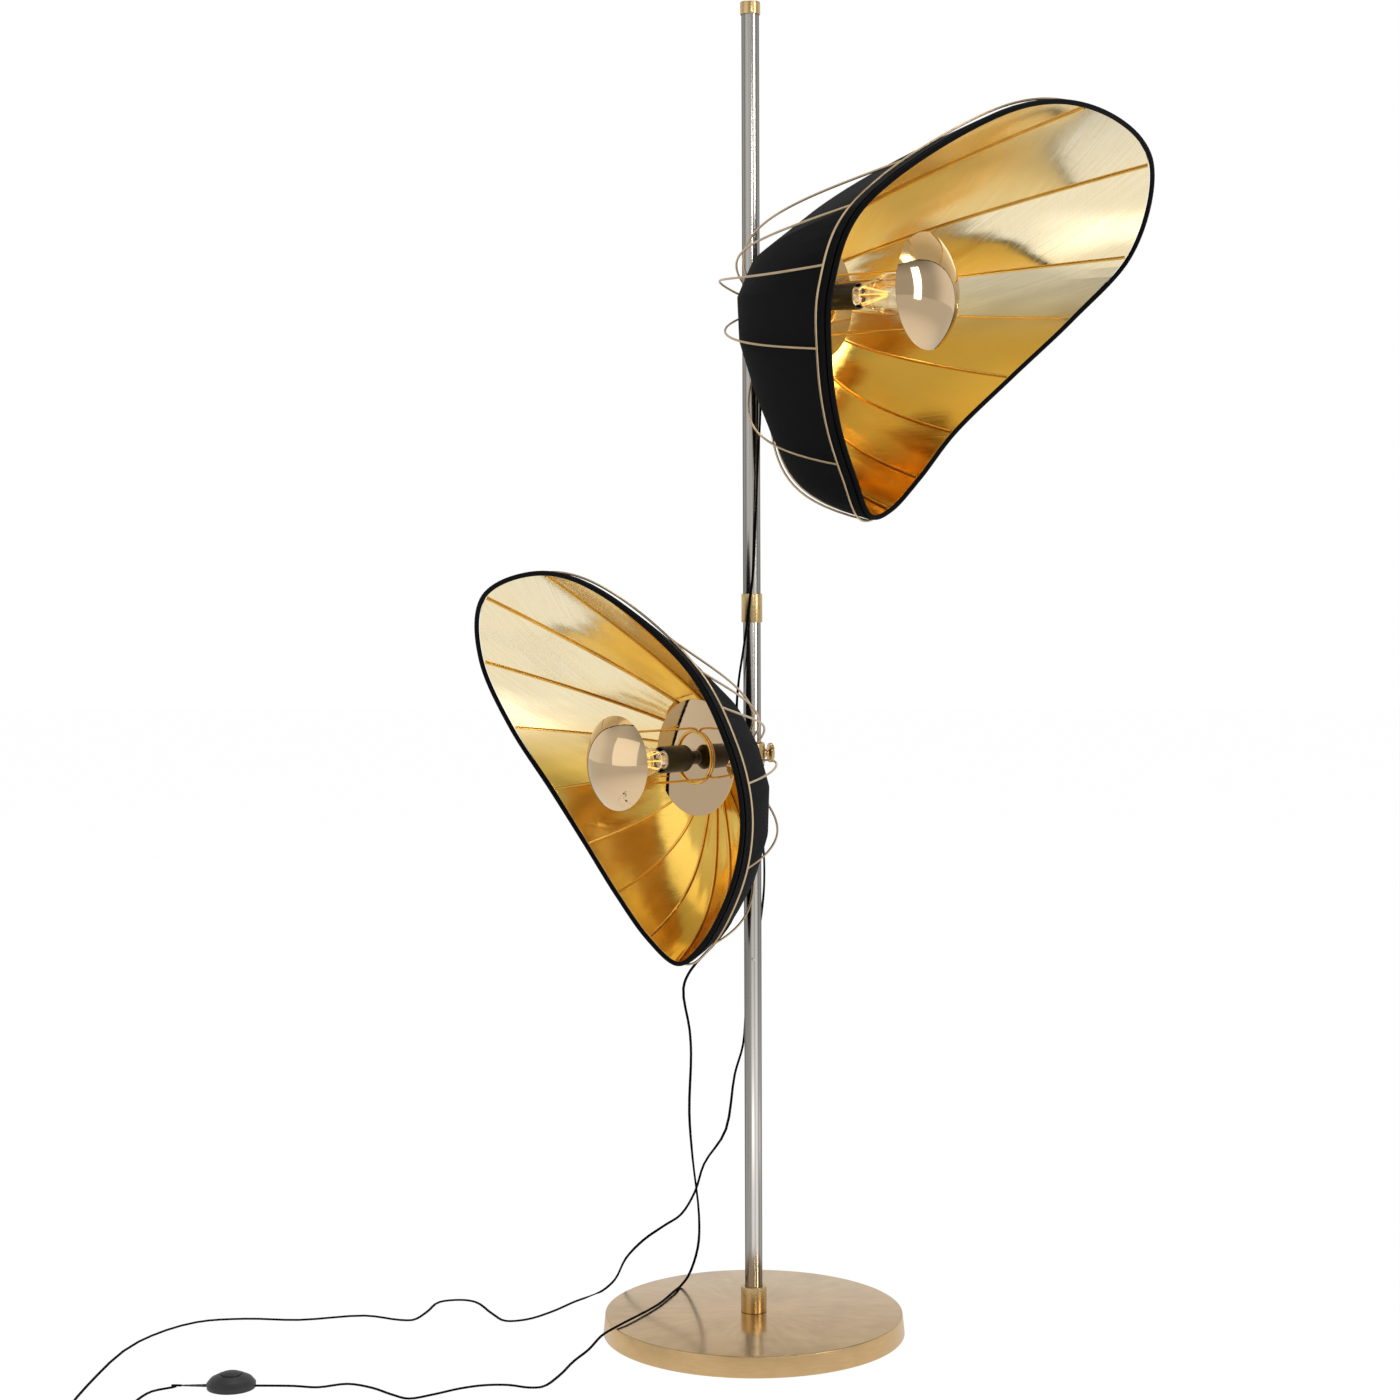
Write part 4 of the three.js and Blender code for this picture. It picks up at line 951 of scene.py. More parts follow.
def merged(parts, cutters, name):
    """One closed shape from parts that cross each other, less the cutters."""
    objects = [
        new_object(f"{name}_{i}", part.points, part.faces)
        for i, part in enumerate([*parts, *cutters])]
    whole = objects[0]
    for i, other in enumerate(objects[1:], 1):
        step = whole.modifiers.new("join", "BOOLEAN")
        step.operation = "UNION" if i < len(parts) else "DIFFERENCE"
        step.solver = "EXACT"
        step.object = other
    bpy.context.view_layer.update()
    result = whole.evaluated_get(bpy.context.evaluated_depsgraph_get()).to_mesh()
    shape = Shape().add(
        [v.co for v in result.vertices], [tuple(f.vertices) for f in result.polygons])
    for made in objects:
        mesh = made.data
        bpy.data.objects.remove(made)
        bpy.data.meshes.remove(mesh)
    return shape


def turned_piece(name, outline, finish_name, nodes, slot, facets=96, change=None):
    shape = turned(outline, facets)
    if change:
        shape.moved(change)
    return mesh_piece(name, shape, finish_name, nodes, slot=slot)


# Stage.
class LAMP_OT_stage(bpy.types.Operator):
    """Camera, floor, lamps and world"""

    bl_idname = "lamp.stage"
    bl_label = "Stage"

    def execute(self, context):
        self.camera(context)
        self.floor(context)
        self.lights(context)
        self.world(context)
        context.scene.view_settings.view_transform = "Standard"
        return {"FINISHED"}

    def camera(self, context):
        pitch, yaw, roll = (math.radians(a) for a in (CAMERA_PITCH, CAMERA_YAW, CAMERA_ROLL))
        level = math.cos(pitch)
        forward = Vector((-math.sin(yaw) * level, math.cos(yaw) * level, -math.sin(pitch)))
        right = Vector((math.cos(yaw), math.sin(yaw), 0.0))
        up = right.cross(forward)
        side = right * math.cos(roll) + up * math.sin(roll)
        top = up * math.cos(roll) - right * math.sin(roll)
        data = bpy.data.cameras.new("photo_camera")
        data.sensor_width = SENSOR
        data.lens = SENSOR * CAMERA_PIXELS / IMAGE_SIDE
        data.clip_end = CLIP_END
        camera = bpy.data.objects.new("photo_camera", data)
        context.scene.collection.objects.link(camera)
        aimed = Matrix((side, top, -forward)).transposed().to_4x4()
        camera.matrix_world = Matrix.Translation(CAMERA_PLACE) @ aimed
        context.scene.camera = camera

    def floor(self, context):
        """White to the camera, grey to the light, and with its own level in polished pieces."""
        mesh = bpy.data.meshes.new("studio_floor")
        half = FLOOR.half
        corners = [(-half, -half, 0), (half, -half, 0), (half, half, 0), (-half, half, 0)]
        mesh.from_pydata(corners, [], [(0, 1, 2, 3)])
        floor = bpy.data.objects.new("studio_floor", mesh)
        context.scene.collection.objects.link(floor)
        look = Look(bpy.data.materials.new(OWN_PREFIX + "studio_floor"))
        seen, mirrored = look.ray("Camera"), look.ray("Glossy")
        plain = look.node("ShaderNodeBsdfDiffuse", {}, {"Color": (*[FLOOR.grey] * 3, 1.0)})
        white = look.node(
            "ShaderNodeEmission", {}, {"Color": (1.0, 1.0, 1.0, 1.0), "Strength": FLOOR.white})
        x, y, _ = look.axes(look.place())

        def spot(at_x, at_y, near, far, squeeze):
            across, deep = (x - at_x) * squeeze, y - at_y
            return 1 - look.band((across * across + deep * deep) ** 0.5, near, far)

        pool = spot(*POOL) * POOL_LEVEL + POOL_EDGE
        level = pool + (spot(*GLARES[0]) + spot(*GLARES[1])) * GLARE_LEVEL
        glow = look.node(
            "ShaderNodeEmission", {}, {"Color": look.vector(level, level, level), "Strength": 1.0})
        shown = look.shaders(seen * FLOOR.white_share, plain, white)
        look.node(
            "ShaderNodeOutputMaterial", {}, {"Surface": look.shaders(mirrored, shown, glow)})
        mesh.materials.append(look.owner)

    def lights(self, context):
        for name, place, aim, size, power in WINDOWS:
            data = bpy.data.lights.new(name, "AREA")
            data.shape = "RECTANGLE"
            data.size, data.size_y = size
            data.energy = power
            lamp = bpy.data.objects.new(name, data)
            context.scene.collection.objects.link(lamp)
            lamp.location = place
            heading = Vector((0, 0, aim)) - Vector(place)
            lamp.rotation_euler = heading.to_track_quat("-Z", "Y").to_euler()

    def world(self, context):
        """White to the camera and through glass, and a level by direction in mirrors."""
        look = Look(bpy.data.worlds.new("studio_air"))
        seen, glossy, through = (look.ray(key) for key in ("Camera", "Glossy", "Transmission"))
        x, y, z = look.axes(look.node("ShaderNodeTexCoord", out="Generated"))
        behind = look.band(y, -0.2, 0.4)
        overhead = look.band(z, 0.3, 0.75)
        leftward = look.band(x, -0.8, 0.2) * -1 + 1
        front_left = (1 - behind) * leftward
        mirrored = AIR.front + behind * AIR.back + front_left * AIR.left
        loss = overhead * (1 - front_left * AIR.left_keeps) * AIR.top_loss
        clear = (seen + through).clamped()
        shown = glossy * (mirrored * (1 - loss)) + (1 - glossy) * AIR.soft
        level = clear + (1 - clear) * shown
        air = look.vector(level, level, level)
        back = look.node("ShaderNodeBackground", {}, {"Color": air, "Strength": 1.0})
        look.node("ShaderNodeOutputWorld", {}, {"Surface": back})
        context.scene.world = look.owner


# Leads.
def resample(points, per_step=STEPS.lead):
    points = [np.array(p, float) for p in points]
    count = (len(points) - 1) * per_step
    return np.array([catmull(points, i / count, closed=False) for i in range(count + 1)])


def twin_section():
    """Two cores side by side in one skin: an outline like a figure of eight."""
    core, web, steps = LEAD.core, LEAD.web, LEAD.arc_steps
    half = LEAD.width / 2 - core
    points = []
    for centre, start in ((half, -web), (-half, 1 - web)):
        for k in range(steps + 1):
            angle = math.pi * (start + 2 * web * k / steps)
            points.append((centre + core * math.cos(angle), core * math.sin(angle)))
    return np.array(points)


def hanging(route):
    """The turn of a lead about itself: flat where it lies, edgewise and swaying where it hangs."""
    height = route[:, 2]
    sway = SWAY.turn * smoothstep(height, SWAY.start, SWAY.end)
    return (sway * np.sin(height / SWAY.wave)
            + EDGEWISE.turn * smoothstep(height, EDGEWISE.start, EDGEWISE.end))


def flat(route):
    return np.zeros(len(route))


def lay_lead(side, name, route, node, twist):
    """A twin lead as a mesh tube, made from its far end so that it starts flat on the floor."""
    back = route[::-1]
    shape = swept(
        back, twin_section(), side=np.cross((0, 0, 1), back[1] - back[0]), twist=twist(back))
    made = head_piece(side, name, shape, "lead_black", node, "black_lead", sharp=60.0)
    return made


def coil_route(start):
    """The spare length's coil, as in the part's source."""
    pitch = LEAD.width + COIL.spare
    outermost = COIL.mean + pitch * COIL.loops / 4
    centre = np.array(start) + (outermost, -LEAD.width, 0)
    points = [np.array(start, float)]
    for i in range(COIL.loops * COIL.steps + 1):
        turn = i / COIL.steps
        inward = min(turn, COIL.loops - turn)
        climb = float(smoothstep(turn, COIL.loops / 2 - 0.25, COIL.loops / 2 + 0.25))
        angle = math.pi + FULL_TURN * turn
        reach = outermost - pitch * inward
        points.append(centre + (reach * math.cos(angle), reach * math.sin(angle), pitch * climb))
    points.append(points[-1] + (0, -LEAD.width, 0))
    return np.array(points)


class LAMP_OT_leads(bpy.types.Operator):
    """Both leads with their foot switches, coils and plugs"""

    bl_idname = "lamp.leads"
    bl_label = "Leads"

    def execute(self, context):
        for side, head in HEADS.items():
            self.one(side, head, LEADS[side])
        return {"FINISHED"}

    def one(self, side, head, lead):
        angle = math.radians(head["guide_turn"])
        x, y = GUIDE.reach * math.cos(angle), GUIDE.reach * math.sin(angle)
        low = head["height"] + BUSH.low - SEAT - GUIDE.length - SEAT
        turn = math.radians(lead["switch_turn"])
        heading = np.array([math.cos(turn), math.sin(turn), 0.0])
        floor, straight = LEAD.floor, LEAD.straight
        middle = np.array([*lead["switch"], floor])
        face = SWITCH.face
        route = resample([
            (x, y, low), (x, y, low - straight), *lead["fall"],
            *[(a, b, LEAD.base) for a, b in lead["base"]], *lead["edge"],
            *[(a, b, floor) for a, b in lead["floor"]],
            middle - heading * (face + SEAT + straight), middle - heading * (face + SEAT)])
        self.switch(side, lead)
        made = lay_lead(side, "twin_lead", route, "lead", hanging)
        made.parent = None  # A blended piece has no parent.
        (low - straight) * MM
        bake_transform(made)
        start = middle + heading * (face + SWITCH.boot_long + SEAT)
        if lead["tail"]:
            last = np.array([*lead["tail_end"], floor])
            tail = resample([
                start, start + heading * straight, *[(a, b, floor) for a, b in lead["tail"]],
                last + (0, straight, 0), last])
            lay_lead(side, "twin_tail", tail, "tail", flat)
            start = last + (0, -SEAT, 0)
        route = coil_route(start)
        plug = self.plug(side, route[-1])
        coil = head_piece(
            side, "spare_coil", swept(route, circle(LEAD.width / 2, SIDES.coil)),
            "lead_black", "coil", "black_lead", sharp=60.0)

    def switch(self, side, lead):
        """A round foot switch with a ribbed boot on its far side, and its button."""
        def settle(points):
            return turn_z(points, lead["switch_turn"]) + (*lead["switch"], 0)

        radius, well, crown = SWITCH.radius, SWITCH.well, SWITCH.crown
        hole = SWITCH.button + SWITCH.button_play
        body = turned([
            (0, 0), (radius - 0.4, 0), (radius, SWITCH.rim, 1.2), (*SWITCH.shoulder, 4),
            (*crown, 2), (hole, crown[1], 0.5), (hole, well), (0, well),
        ], 72)
        inner = SWITCH.face - BOOT.root
        length = SWITCH.face + SWITCH.boot_long - inner
        outline = [(0, inner), (BOOT.foot, inner)]
        for k in range(BOOT.rings + 1):
            share = k / BOOT.rings
            ridge = 0.0 if k % 2 else -BOOT.ridge
            outline.append((
                SWITCH.boot - BOOT.taper * share + ridge,
                inner + BOOT.first_ring + (length - BOOT.plain) * share))
        outline += [(BOOT.mouth, inner + length), (0, inner + length)]
        boot = turned(outline, 32)
        boot.moved(lambda p: along_x(p) * (1, 1, BOOT.squash) + (0, 0, LEAD.floor))
        whole = merged([body, boot], [], f"{side}_switch_work").moved(settle)
        head_piece(side, "foot_switch", whole, "switch_black", "switch", "black_plastic")
        foot, top = well + SWITCH.travel + SEAT, SWITCH.button_top
        button = turned([
            (0, foot), (SWITCH.button, foot), (SWITCH.button, top - 2.2, 1.2),
            *[(radius, top - drop) for radius, drop in BUTTON_CROWN], (0, top),
        ], 64).moved(settle)
        head_piece(side, "foot_button", button, "switch_black", "button", "black_plastic")

    def plug(self, side, end):
        """A flat plug that tapers to its boot, with two pins."""
        nose, width, length = PLUG.nose / 2, PLUG.width / 2, PLUG.length
        half = end[2] - PLUG.lift
        outline = rounded([
            (nose, 0, 1.5), (width, length / 3, 6), (width, length, 1.5), (-width, length, 1.5),
            (-width, length / 3, 6), (-nose, 0, 1.5),
        ])
        inset, edge = 1 - PLUG.inset, half - PLUG.bevel
        rows = [(inset, -half), (1, -edge), (1, edge), (inset, half)]
        middle = np.array([0, length / 2])
        points = [
            (*(middle + (np.array(p) - middle) * share), level)
            for share, level in rows for p in outline]
        body = Shape().add(points, wrap(len(rows), len(outline)))

        def lying(p):
            return p[:, [0, 2, 1]]

        back, boot = -PLUG.boot_long, PLUG.boot
        parts = [body, turned([
            (0, back), (boot, back), *[(boot * share, place) for share, place in FLARE],
            (0, FLARE[-1][1]),
        ], 32).moved(lying)]
        tip, radius = length + PLUG.pin_long, PLUG.pin
        for sign in (-1, 1):
            pin = turned([
                (0, length - 1), (radius, length - 1), (radius, tip - PLUG.pin_taper),
                (PLUG.pin_tip, tip), (0, tip),
            ], 24)
            aside = (sign * PLUG.pin_gap / 2, 0, 0)
            parts.append(pin.moved(lambda p, aside=aside: lying(p) + aside))
        whole = merged(parts, [], f"{side}_plug_work")
        place = (end[0], end[1] - SEAT - PLUG.boot_long, end[2])
        whole.moved(lambda p: p * (-1, -1, 1) + place)
        return head_piece(side, "mains_plug", whole, "switch_black", "plug", "black_plastic")


# Base and pole.
class LAMP_OT_base(bpy.types.Operator):
    """Brass base cover and the boss that holds the pole"""

    bl_idname = "lamp.base"
    bl_label = "Base"

    def execute(self, context):
        roof = BASE.height - BASE.wall
        low, top, lip, bolt_hole = BASE.bottom, BASE.top, BASE.lip, BASE.bolt_hole
        turned_piece("base_brass_cover", [
            (low, lip, 0.5), (top, BASE.height, 1.4), (bolt_hole, BASE.height),
            (bolt_hole, roof), (top - BASE.wall, roof, 1.0), (low - BASE.wall, lip),
        ], "mirror_brass", ["base_cover"], "polished_brass", facets=256)
        turned_piece("base_pole_boss", [
            (BOSS.inner, BOSS.low), (BOSS.outer, BOSS.low, 0.4),
            (BOSS.outer, BOSS.high, 0.8), (BOSS.inner, BOSS.high, 0.5),
        ], "turned_brass", ["base_boss"], "polished_brass", facets=128)
        return {"FINISHED"}


class LAMP_OT_pole(bpy.types.Operator):
    """Both pole tubes, their brass coupling, the cap and the lock screw"""

    bl_idname = "lamp.pole"
    bl_label = "Pole"

    def execute(self, context):
        radius = sizes().pole_radius / MM
        bore = radius - POLE.wall
        for name, low, high in (
                ("lower_pole", POLE.foot, POLE.joint),
                ("upper_pole", POLE.joint + SEAT, POLE.top)):
            turned_piece(f"{name}_tube", [
                (bore, low), (radius, low, 0.3), (radius, high, 0.3), (bore, high),
            ], "brushed_steel", [name], "satin_steel")
        turned_piece("pole_brass_coupling", [
            (COUPLING.inner, COUPLING.low), (COUPLING.outer, COUPLING.low, 0.6),
            (COUPLING.outer, COUPLING.high, 0.6), (COUPLING.inner, COUPLING.high),
        ], "turned_brass", ["pole_coupling"], "polished_brass")
        turned_piece("pole_brass_cap", [
            (CAP.inner, CAP.skirt), (CAP.outer, CAP.skirt, 0.4),
            (CAP.outer, CAP.top, 1.0), (0, CAP.top), (0, CAP.under),
            (CAP.inner, CAP.under),
        ], "turned_brass", ["top_cap"], "polished_brass")
        self.lock_screw(radius + SEAT, bore + LOCK_SCREW.play)
        return {"FINISHED"}

    def lock_screw(self, start, inner):
        head, shank, top = LOCK_SCREW.head, LOCK_SCREW.shank, start + LOCK_SCREW.high
        screw = turned([
            (0, inner), (shank, inner), (shank, start), (head, start),
            (head, top - LOCK_SCREW.edge, 0.3), (head * LOCK_SCREW.crown_share, top), (0, top),
        ], 40)
        wide, foot = LOCK_SCREW.socket, top - LOCK_SCREW.deep
        socket = turned([(0, foot), (wide, foot), (wide, top + 1), (0, top + 1)], 6)
        shape = merged([screw], [socket], "lock_screw_work")
        shape.moved(lambda p: turn_z(along_x(p), -90) + (0, 0, LOCK_SCREW.height))
        mesh_piece("pole_lock_screw", shape, "plain_steel", ["pole_screw"], slot="steel")


class LAMP_OT_clamps(bpy.types.Operator):
    """Sliding bush, lead guide, swivel collar and thumb screw of each head"""

    bl_idname = "lamp.clamps"
    bl_label = "Clamps"

    def execute(self, context):
        for side, head in HEADS.items():
            self.bush(side, head)
            self.collar(side, head)
            self.thumb_screw(side, head)
        return {"FINISHED"}

    def bush(self, side, head):
        """A flanged sleeve with an ear at its side, and the strain relief that hangs from it."""
        height = head["height"]
        angle = math.radians(head["guide_turn"])
        ear = (GUIDE.reach * math.cos(angle), GUIDE.reach * math.sin(angle))
        low, top, high = BUSH.low, -COLLAR.half - SEAT, COLLAR.half
        core = BUSH.inner - 1
        sleeve = turned([
            (core, low), (BUSH.flange, low, 0.5), (BUSH.flange, top, 0.5),
            (BUSH.outer, top), (BUSH.outer, high), (core, high),
        ], 72)
        lug = cylinder(GUIDE.ear, low, top, 48).moved(lambda p: p + (*ear, 0))
        eye = cylinder(GUIDE.neck + SEAT, *CUT.eye, 32).moved(lambda p: p + (*ear, 0))
        bore = cylinder(BUSH.inner, *CUT.bore, 72)
        shape = merged([sleeve, lug], [bore, eye], f"{side}_bush_work")
        shape.moved(lambda p: p + (0, 0, height))
        head_piece(side, "nylon_bush", shape, "nylon_black", "bush", "black_nylon")

        start, length, tip = low - SEAT, GUIDE.length, GUIDE.tip
        outline = [(0, start - length), (tip - RELIEF.lip, start - length)]
        for k in range(RELIEF.rings + 1):
            share = k / RELIEF.rings
            ring = 0.0 if k % 2 else -RELIEF.groove
            outline.append((
                tip + (GUIDE.boot - tip) * share + ring,
                start - length * (1 - share) * RELIEF.ringed_share - RELIEF.plain))
        outline += [
            (GUIDE.boot, start), (GUIDE.neck, start), (GUIDE.neck, top + SEAT),
            (GUIDE.head, top + SEAT), (GUIDE.head - RELIEF.button_edge, top + RELIEF.button),
            (0, top + RELIEF.button)]
        turned_piece(
            f"{side}_lead_relief", outline, "nylon_black", [f"{side}_lead_guide"], "black_nylon",
            facets=40, change=lambda p: p + (*ear, height))

    def collar(self, side, head):
        """A ring with one boss for the arm and one for the thumb screw."""
        half, curve = COLLAR.half, COLLAR.round
        body = turned([
            (COLLAR.inner, -half, 0.4), (COLLAR.outer, -half, curve),
            (COLLAR.outer, half, curve), (COLLAR.inner, half, 0.4),
        ], 96, steps=6)
        root, reach = (COLLAR.inner + COLLAR.outer) / 2, COLLAR.reach

        def boss(radius):
            outline = [(0, root), (radius, root), (radius, reach, 0.6), (0, reach)]
            return turned(outline, 48).moved(along_x)

        def to_screw(shape):
            return shape.moved(lambda p: turn_z(p, head["screw_turn"]))

        hole = cylinder(THUMB.shank + THUMB.play, *CUT.screw, 32).moved(along_x)
        clear = cylinder(COLLAR.inner, *CUT.bore, 96)
        parts = [body, boss(COLLAR.boss), to_screw(boss(THUMB.boss))]
        shape = merged(parts, [clear, to_screw(hole)], f"{side}_collar_work")
        shape.moved(lambda p: on_pole(head, p))
        head_piece(side, "brass_collar", shape, "turned_brass", "collar", "polished_brass")

    def thumb_screw(self, side, head):
        """A hollowed knob on a shank, with flutes round its edge."""
        start, hub, knob = THUMB.start, THUMB.hub, THUMB.knob
        end = start + THUMB.thick
        inner = BUSH.outer + 2 * SEAT
        shape = turned([
            (0, inner), (THUMB.shank, inner), (THUMB.shank, start - THUMB.hub_back),
            (hub, start - THUMB.hub_back, 0.4), (hub, start + THUMB.hub_front, 1.0),
            (knob, start + THUMB.web, 1.0), (knob, end - 0.4, 1.2),
            *[(knob * share, end - depth) for share, depth in KNOB_FACE],
        ], 4 * THUMB.flutes)

        def fluted(points):
            angle = np.arctan2(points[:, 1], points[:, 0])
            radius = np.hypot(points[:, 0], points[:, 1])
            edge = smoothstep(radius, *(knob - inset for inset in THUMB.flute_edge))
            wave = 0.5 + 0.5 * np.cos(angle * THUMB.flutes)
            points[:, :2] *= (1 - THUMB.flute_depth * edge * wave)[:, None]
            return points

        shape.moved(fluted).moved(along_x)
        shape.moved(lambda p: on_pole(head, turn_z(p, head["screw_turn"])))
        head_piece(
            side, "brass_thumb_screw", shape, "turned_brass", "thumb_screw", "polished_brass",
            sharp=50.0)


def fitting_stations(head):
    """Where each fitting of a head starts along its axis."""
    at = {"plate": head["plate"]}
    at["plate_front"] = at["plate"] + PLATE.thick
    at["retainer"] = at["plate_front"] + SEAT
    at["retainer_front"] = at["retainer"] + RETAINER.thick
    at["neck"] = at["retainer_front"] + SEAT
    at["cone"] = at["neck"] + HOLDER.neck_long
    at["body"] = at["cone"] + HOLDER.cone
    at["mouth"] = at["body"] + HOLDER.body
    at["cavity"] = at["body"] + HOLDER.floor
    at["cap_front"] = at["mouth"] - HOLDER.floor
    at["glass"] = at["cap_front"] + SEAT
    at["tip"] = at["glass"] + BULB.length
    return at


class LAMP_OT_fittings(bpy.types.Operator):
    """Arm, hub, back plate, retainer, lamp holder and bulb of each head"""

    bl_idname = "lamp.fittings"
    bl_label = "Fittings"

    def execute(self, context):
        for side, head in HEADS.items():
            self.one(side, head, fitting_stations(head))
        return {"FINISHED"}

    def one(self, side, head, at):
        def settle(points):
            return on_pole(head, along_x(points))

        def part(name, outline, finish_name, node, slot, facets=72):
            return turned_piece(
                f"{side}_{name}", outline, finish_name, [f"{side}_{node}"], slot,
                facets=facets, change=settle)

        def ring(radius, low, high, corners):
            """A flat ring round the arm, with its outer corners rounded."""
            first = (radius, low, corners[0]) if corners[0] else (radius, low)
            return [(sleeve, low), first, (radius, high, corners[1]), (sleeve, high)]

        sleeve, bore, radius = ARM.radius + SEAT, ARM.bore, ARM.radius
        part("brass_arm", [
            (bore, ARM.start), (radius, ARM.start), (radius, at["cone"]), (bore, at["cone"]),
        ], "turned_brass", "arm", "polished_brass")
        boss, wide, back, front = HUB.boss, HUB.radius, HUB.back, HUB.front
        part("brass_hub", [
            (sleeve, HUB.sleeve), (boss, HUB.sleeve, 0.8), (boss, back), (wide, back, 0.8),
            (wide, front, 0.6), (HUB.pilot, front), (HUB.pilot, BOWL.bottom - SEAT),
            (HUB.nose, BOWL.bottom - SEAT), (HUB.nose, at["plate"] - SEAT),
            (sleeve, at["plate"] - SEAT),
        ], "turned_brass", "hub", "polished_brass")
        part("mirror_plate", ring(PLATE.radius, at["plate"], at["plate_front"], (0.5, 0.7)),
             "plate_mirror", "backplate", "tinted_mirror", facets=160)
        part("mirror_retainer",
             ring(RETAINER.radius, at["retainer"], at["retainer_front"], (0, 0.5)),
             "plate_mirror", "retainer", "tinted_mirror", facets=120)
        neck, outer, inside = HOLDER.neck, HOLDER.radius, HOLDER.radius - HOLDER.wall
        part("black_holder", [
            (sleeve, at["neck"]), (neck, at["neck"], 0.4), (neck, at["cone"], 2.0),
            (outer, at["body"], 4.0), (outer, at["mouth"], 0.9), (inside, at["mouth"], 0.6),
            (inside, at["cavity"]), (bore, at["cavity"]), (bore, at["cone"] + SEAT),
            (sleeve, at["cone"] + SEAT),
        ], "holder_black", "holder", "black_holder")
        part("bulb_screw_cap", self.cap_outline(at), "cap_metal", "bulb_cap", "bulb_metal")
        self.glass(side, at, settle)
        self.filament(side, at, settle)

    def cap_outline(self, at):
        """A contact, four turns of thread as waves, and the stem inside the glass."""
        cavity, front, cap = at["cavity"], at["cap_front"], BULB.cap
        outline = [(0, cavity + SEAT), *[(radius, cavity + high) for radius, high in CONTACT]]
        length = front - cavity - THREAD.spare
        for k in range(THREAD.steps + 1):
            wave = THREAD.depth * math.cos(FULL_TURN * k / THREAD.wave)
            outline.append((
                cap - THREAD.root + wave, cavity + THREAD.start + length * k / THREAD.steps))
        tip = front + BULB.stem
        return [
            *outline, (cap - THREAD.lip, front),
            *[(radius, front + high) for radius, high in STEM_FOOT],
            *[(radius, tip - depth) for radius, depth in STEM_TOP], (0, tip)]

    def glass(self, side, at, settle):
        """A closed glass wall: a neck that swells into a ball."""
        radius, neck, wall, length = BULB.radius, BULB.neck, BULB.wall, BULB.length
        centre, waist, flare = length - radius, BULB.waist, BULB.flare
        outside = [(neck, 0.0)]
        for k in range(1, STEPS.neck + 1):
            share = k / STEPS.neck
            swell = (waist - neck - flare) * float(smoothstep(share))
            outside.append((neck + flare * share + swell, share * (centre - waist)))
        for k in range(1, STEPS.ball + 1):
            angle = math.pi * (-0.25 + 0.75 * k / STEPS.ball)
            outside.append((radius * math.cos(angle), centre + radius * math.sin(angle)))
        outside[-1] = (0.0, length)
        inside = [
            (max(r - wall, 0.0), h - wall * (h / length) ** BULB.thinning) for r, h in outside]
        shape = turned([(r, at["glass"] + h) for r, h in outside + inside[::-1]], 72)
        head_piece(
            side, "clear_bulb", shape.moved(settle), "clear_glass", "bulb_glass", "clear_glass",
            sharp=60.0)

    def filament(self, side, at, settle):
        """Straight glowing strands between a wide ring below and a narrow one above."""
        shape = Shape()
        base = at["cap_front"] + BULB.stem
        low, high, rings = base + FILAMENT.low, base + FILAMENT.high, FILAMENT.ring_gap
        wide, narrow, count = FILAMENT.wide, FILAMENT.narrow, FILAMENT.strands
        for k in range(count):
            angle = FULL_TURN * k / count
            start = np.array((wide * math.cos(angle), wide * math.sin(angle), low))
            end = np.array((narrow * math.cos(angle), narrow * math.sin(angle), high))
            route = [start + (end - start) * i / STEPS.strand for i in range(STEPS.strand + 1)]
            shape.add(*tube(route, circle(FILAMENT.strand, SIDES.strand)))
        for radius, level in ((narrow, high + rings), (wide, low - rings)):
            ring = [(*point, level) for point in circle(radius, STEPS.strand_ring)]
            shape.add(*tube(ring, circle(FILAMENT.wire, SIDES.strand_ring), closed=True))
        mesh_piece(
            f"{side}_bulb_filament", shape.moved(settle), "warm_filament", body=f"{side}_head",
            slot="bulb_metal")


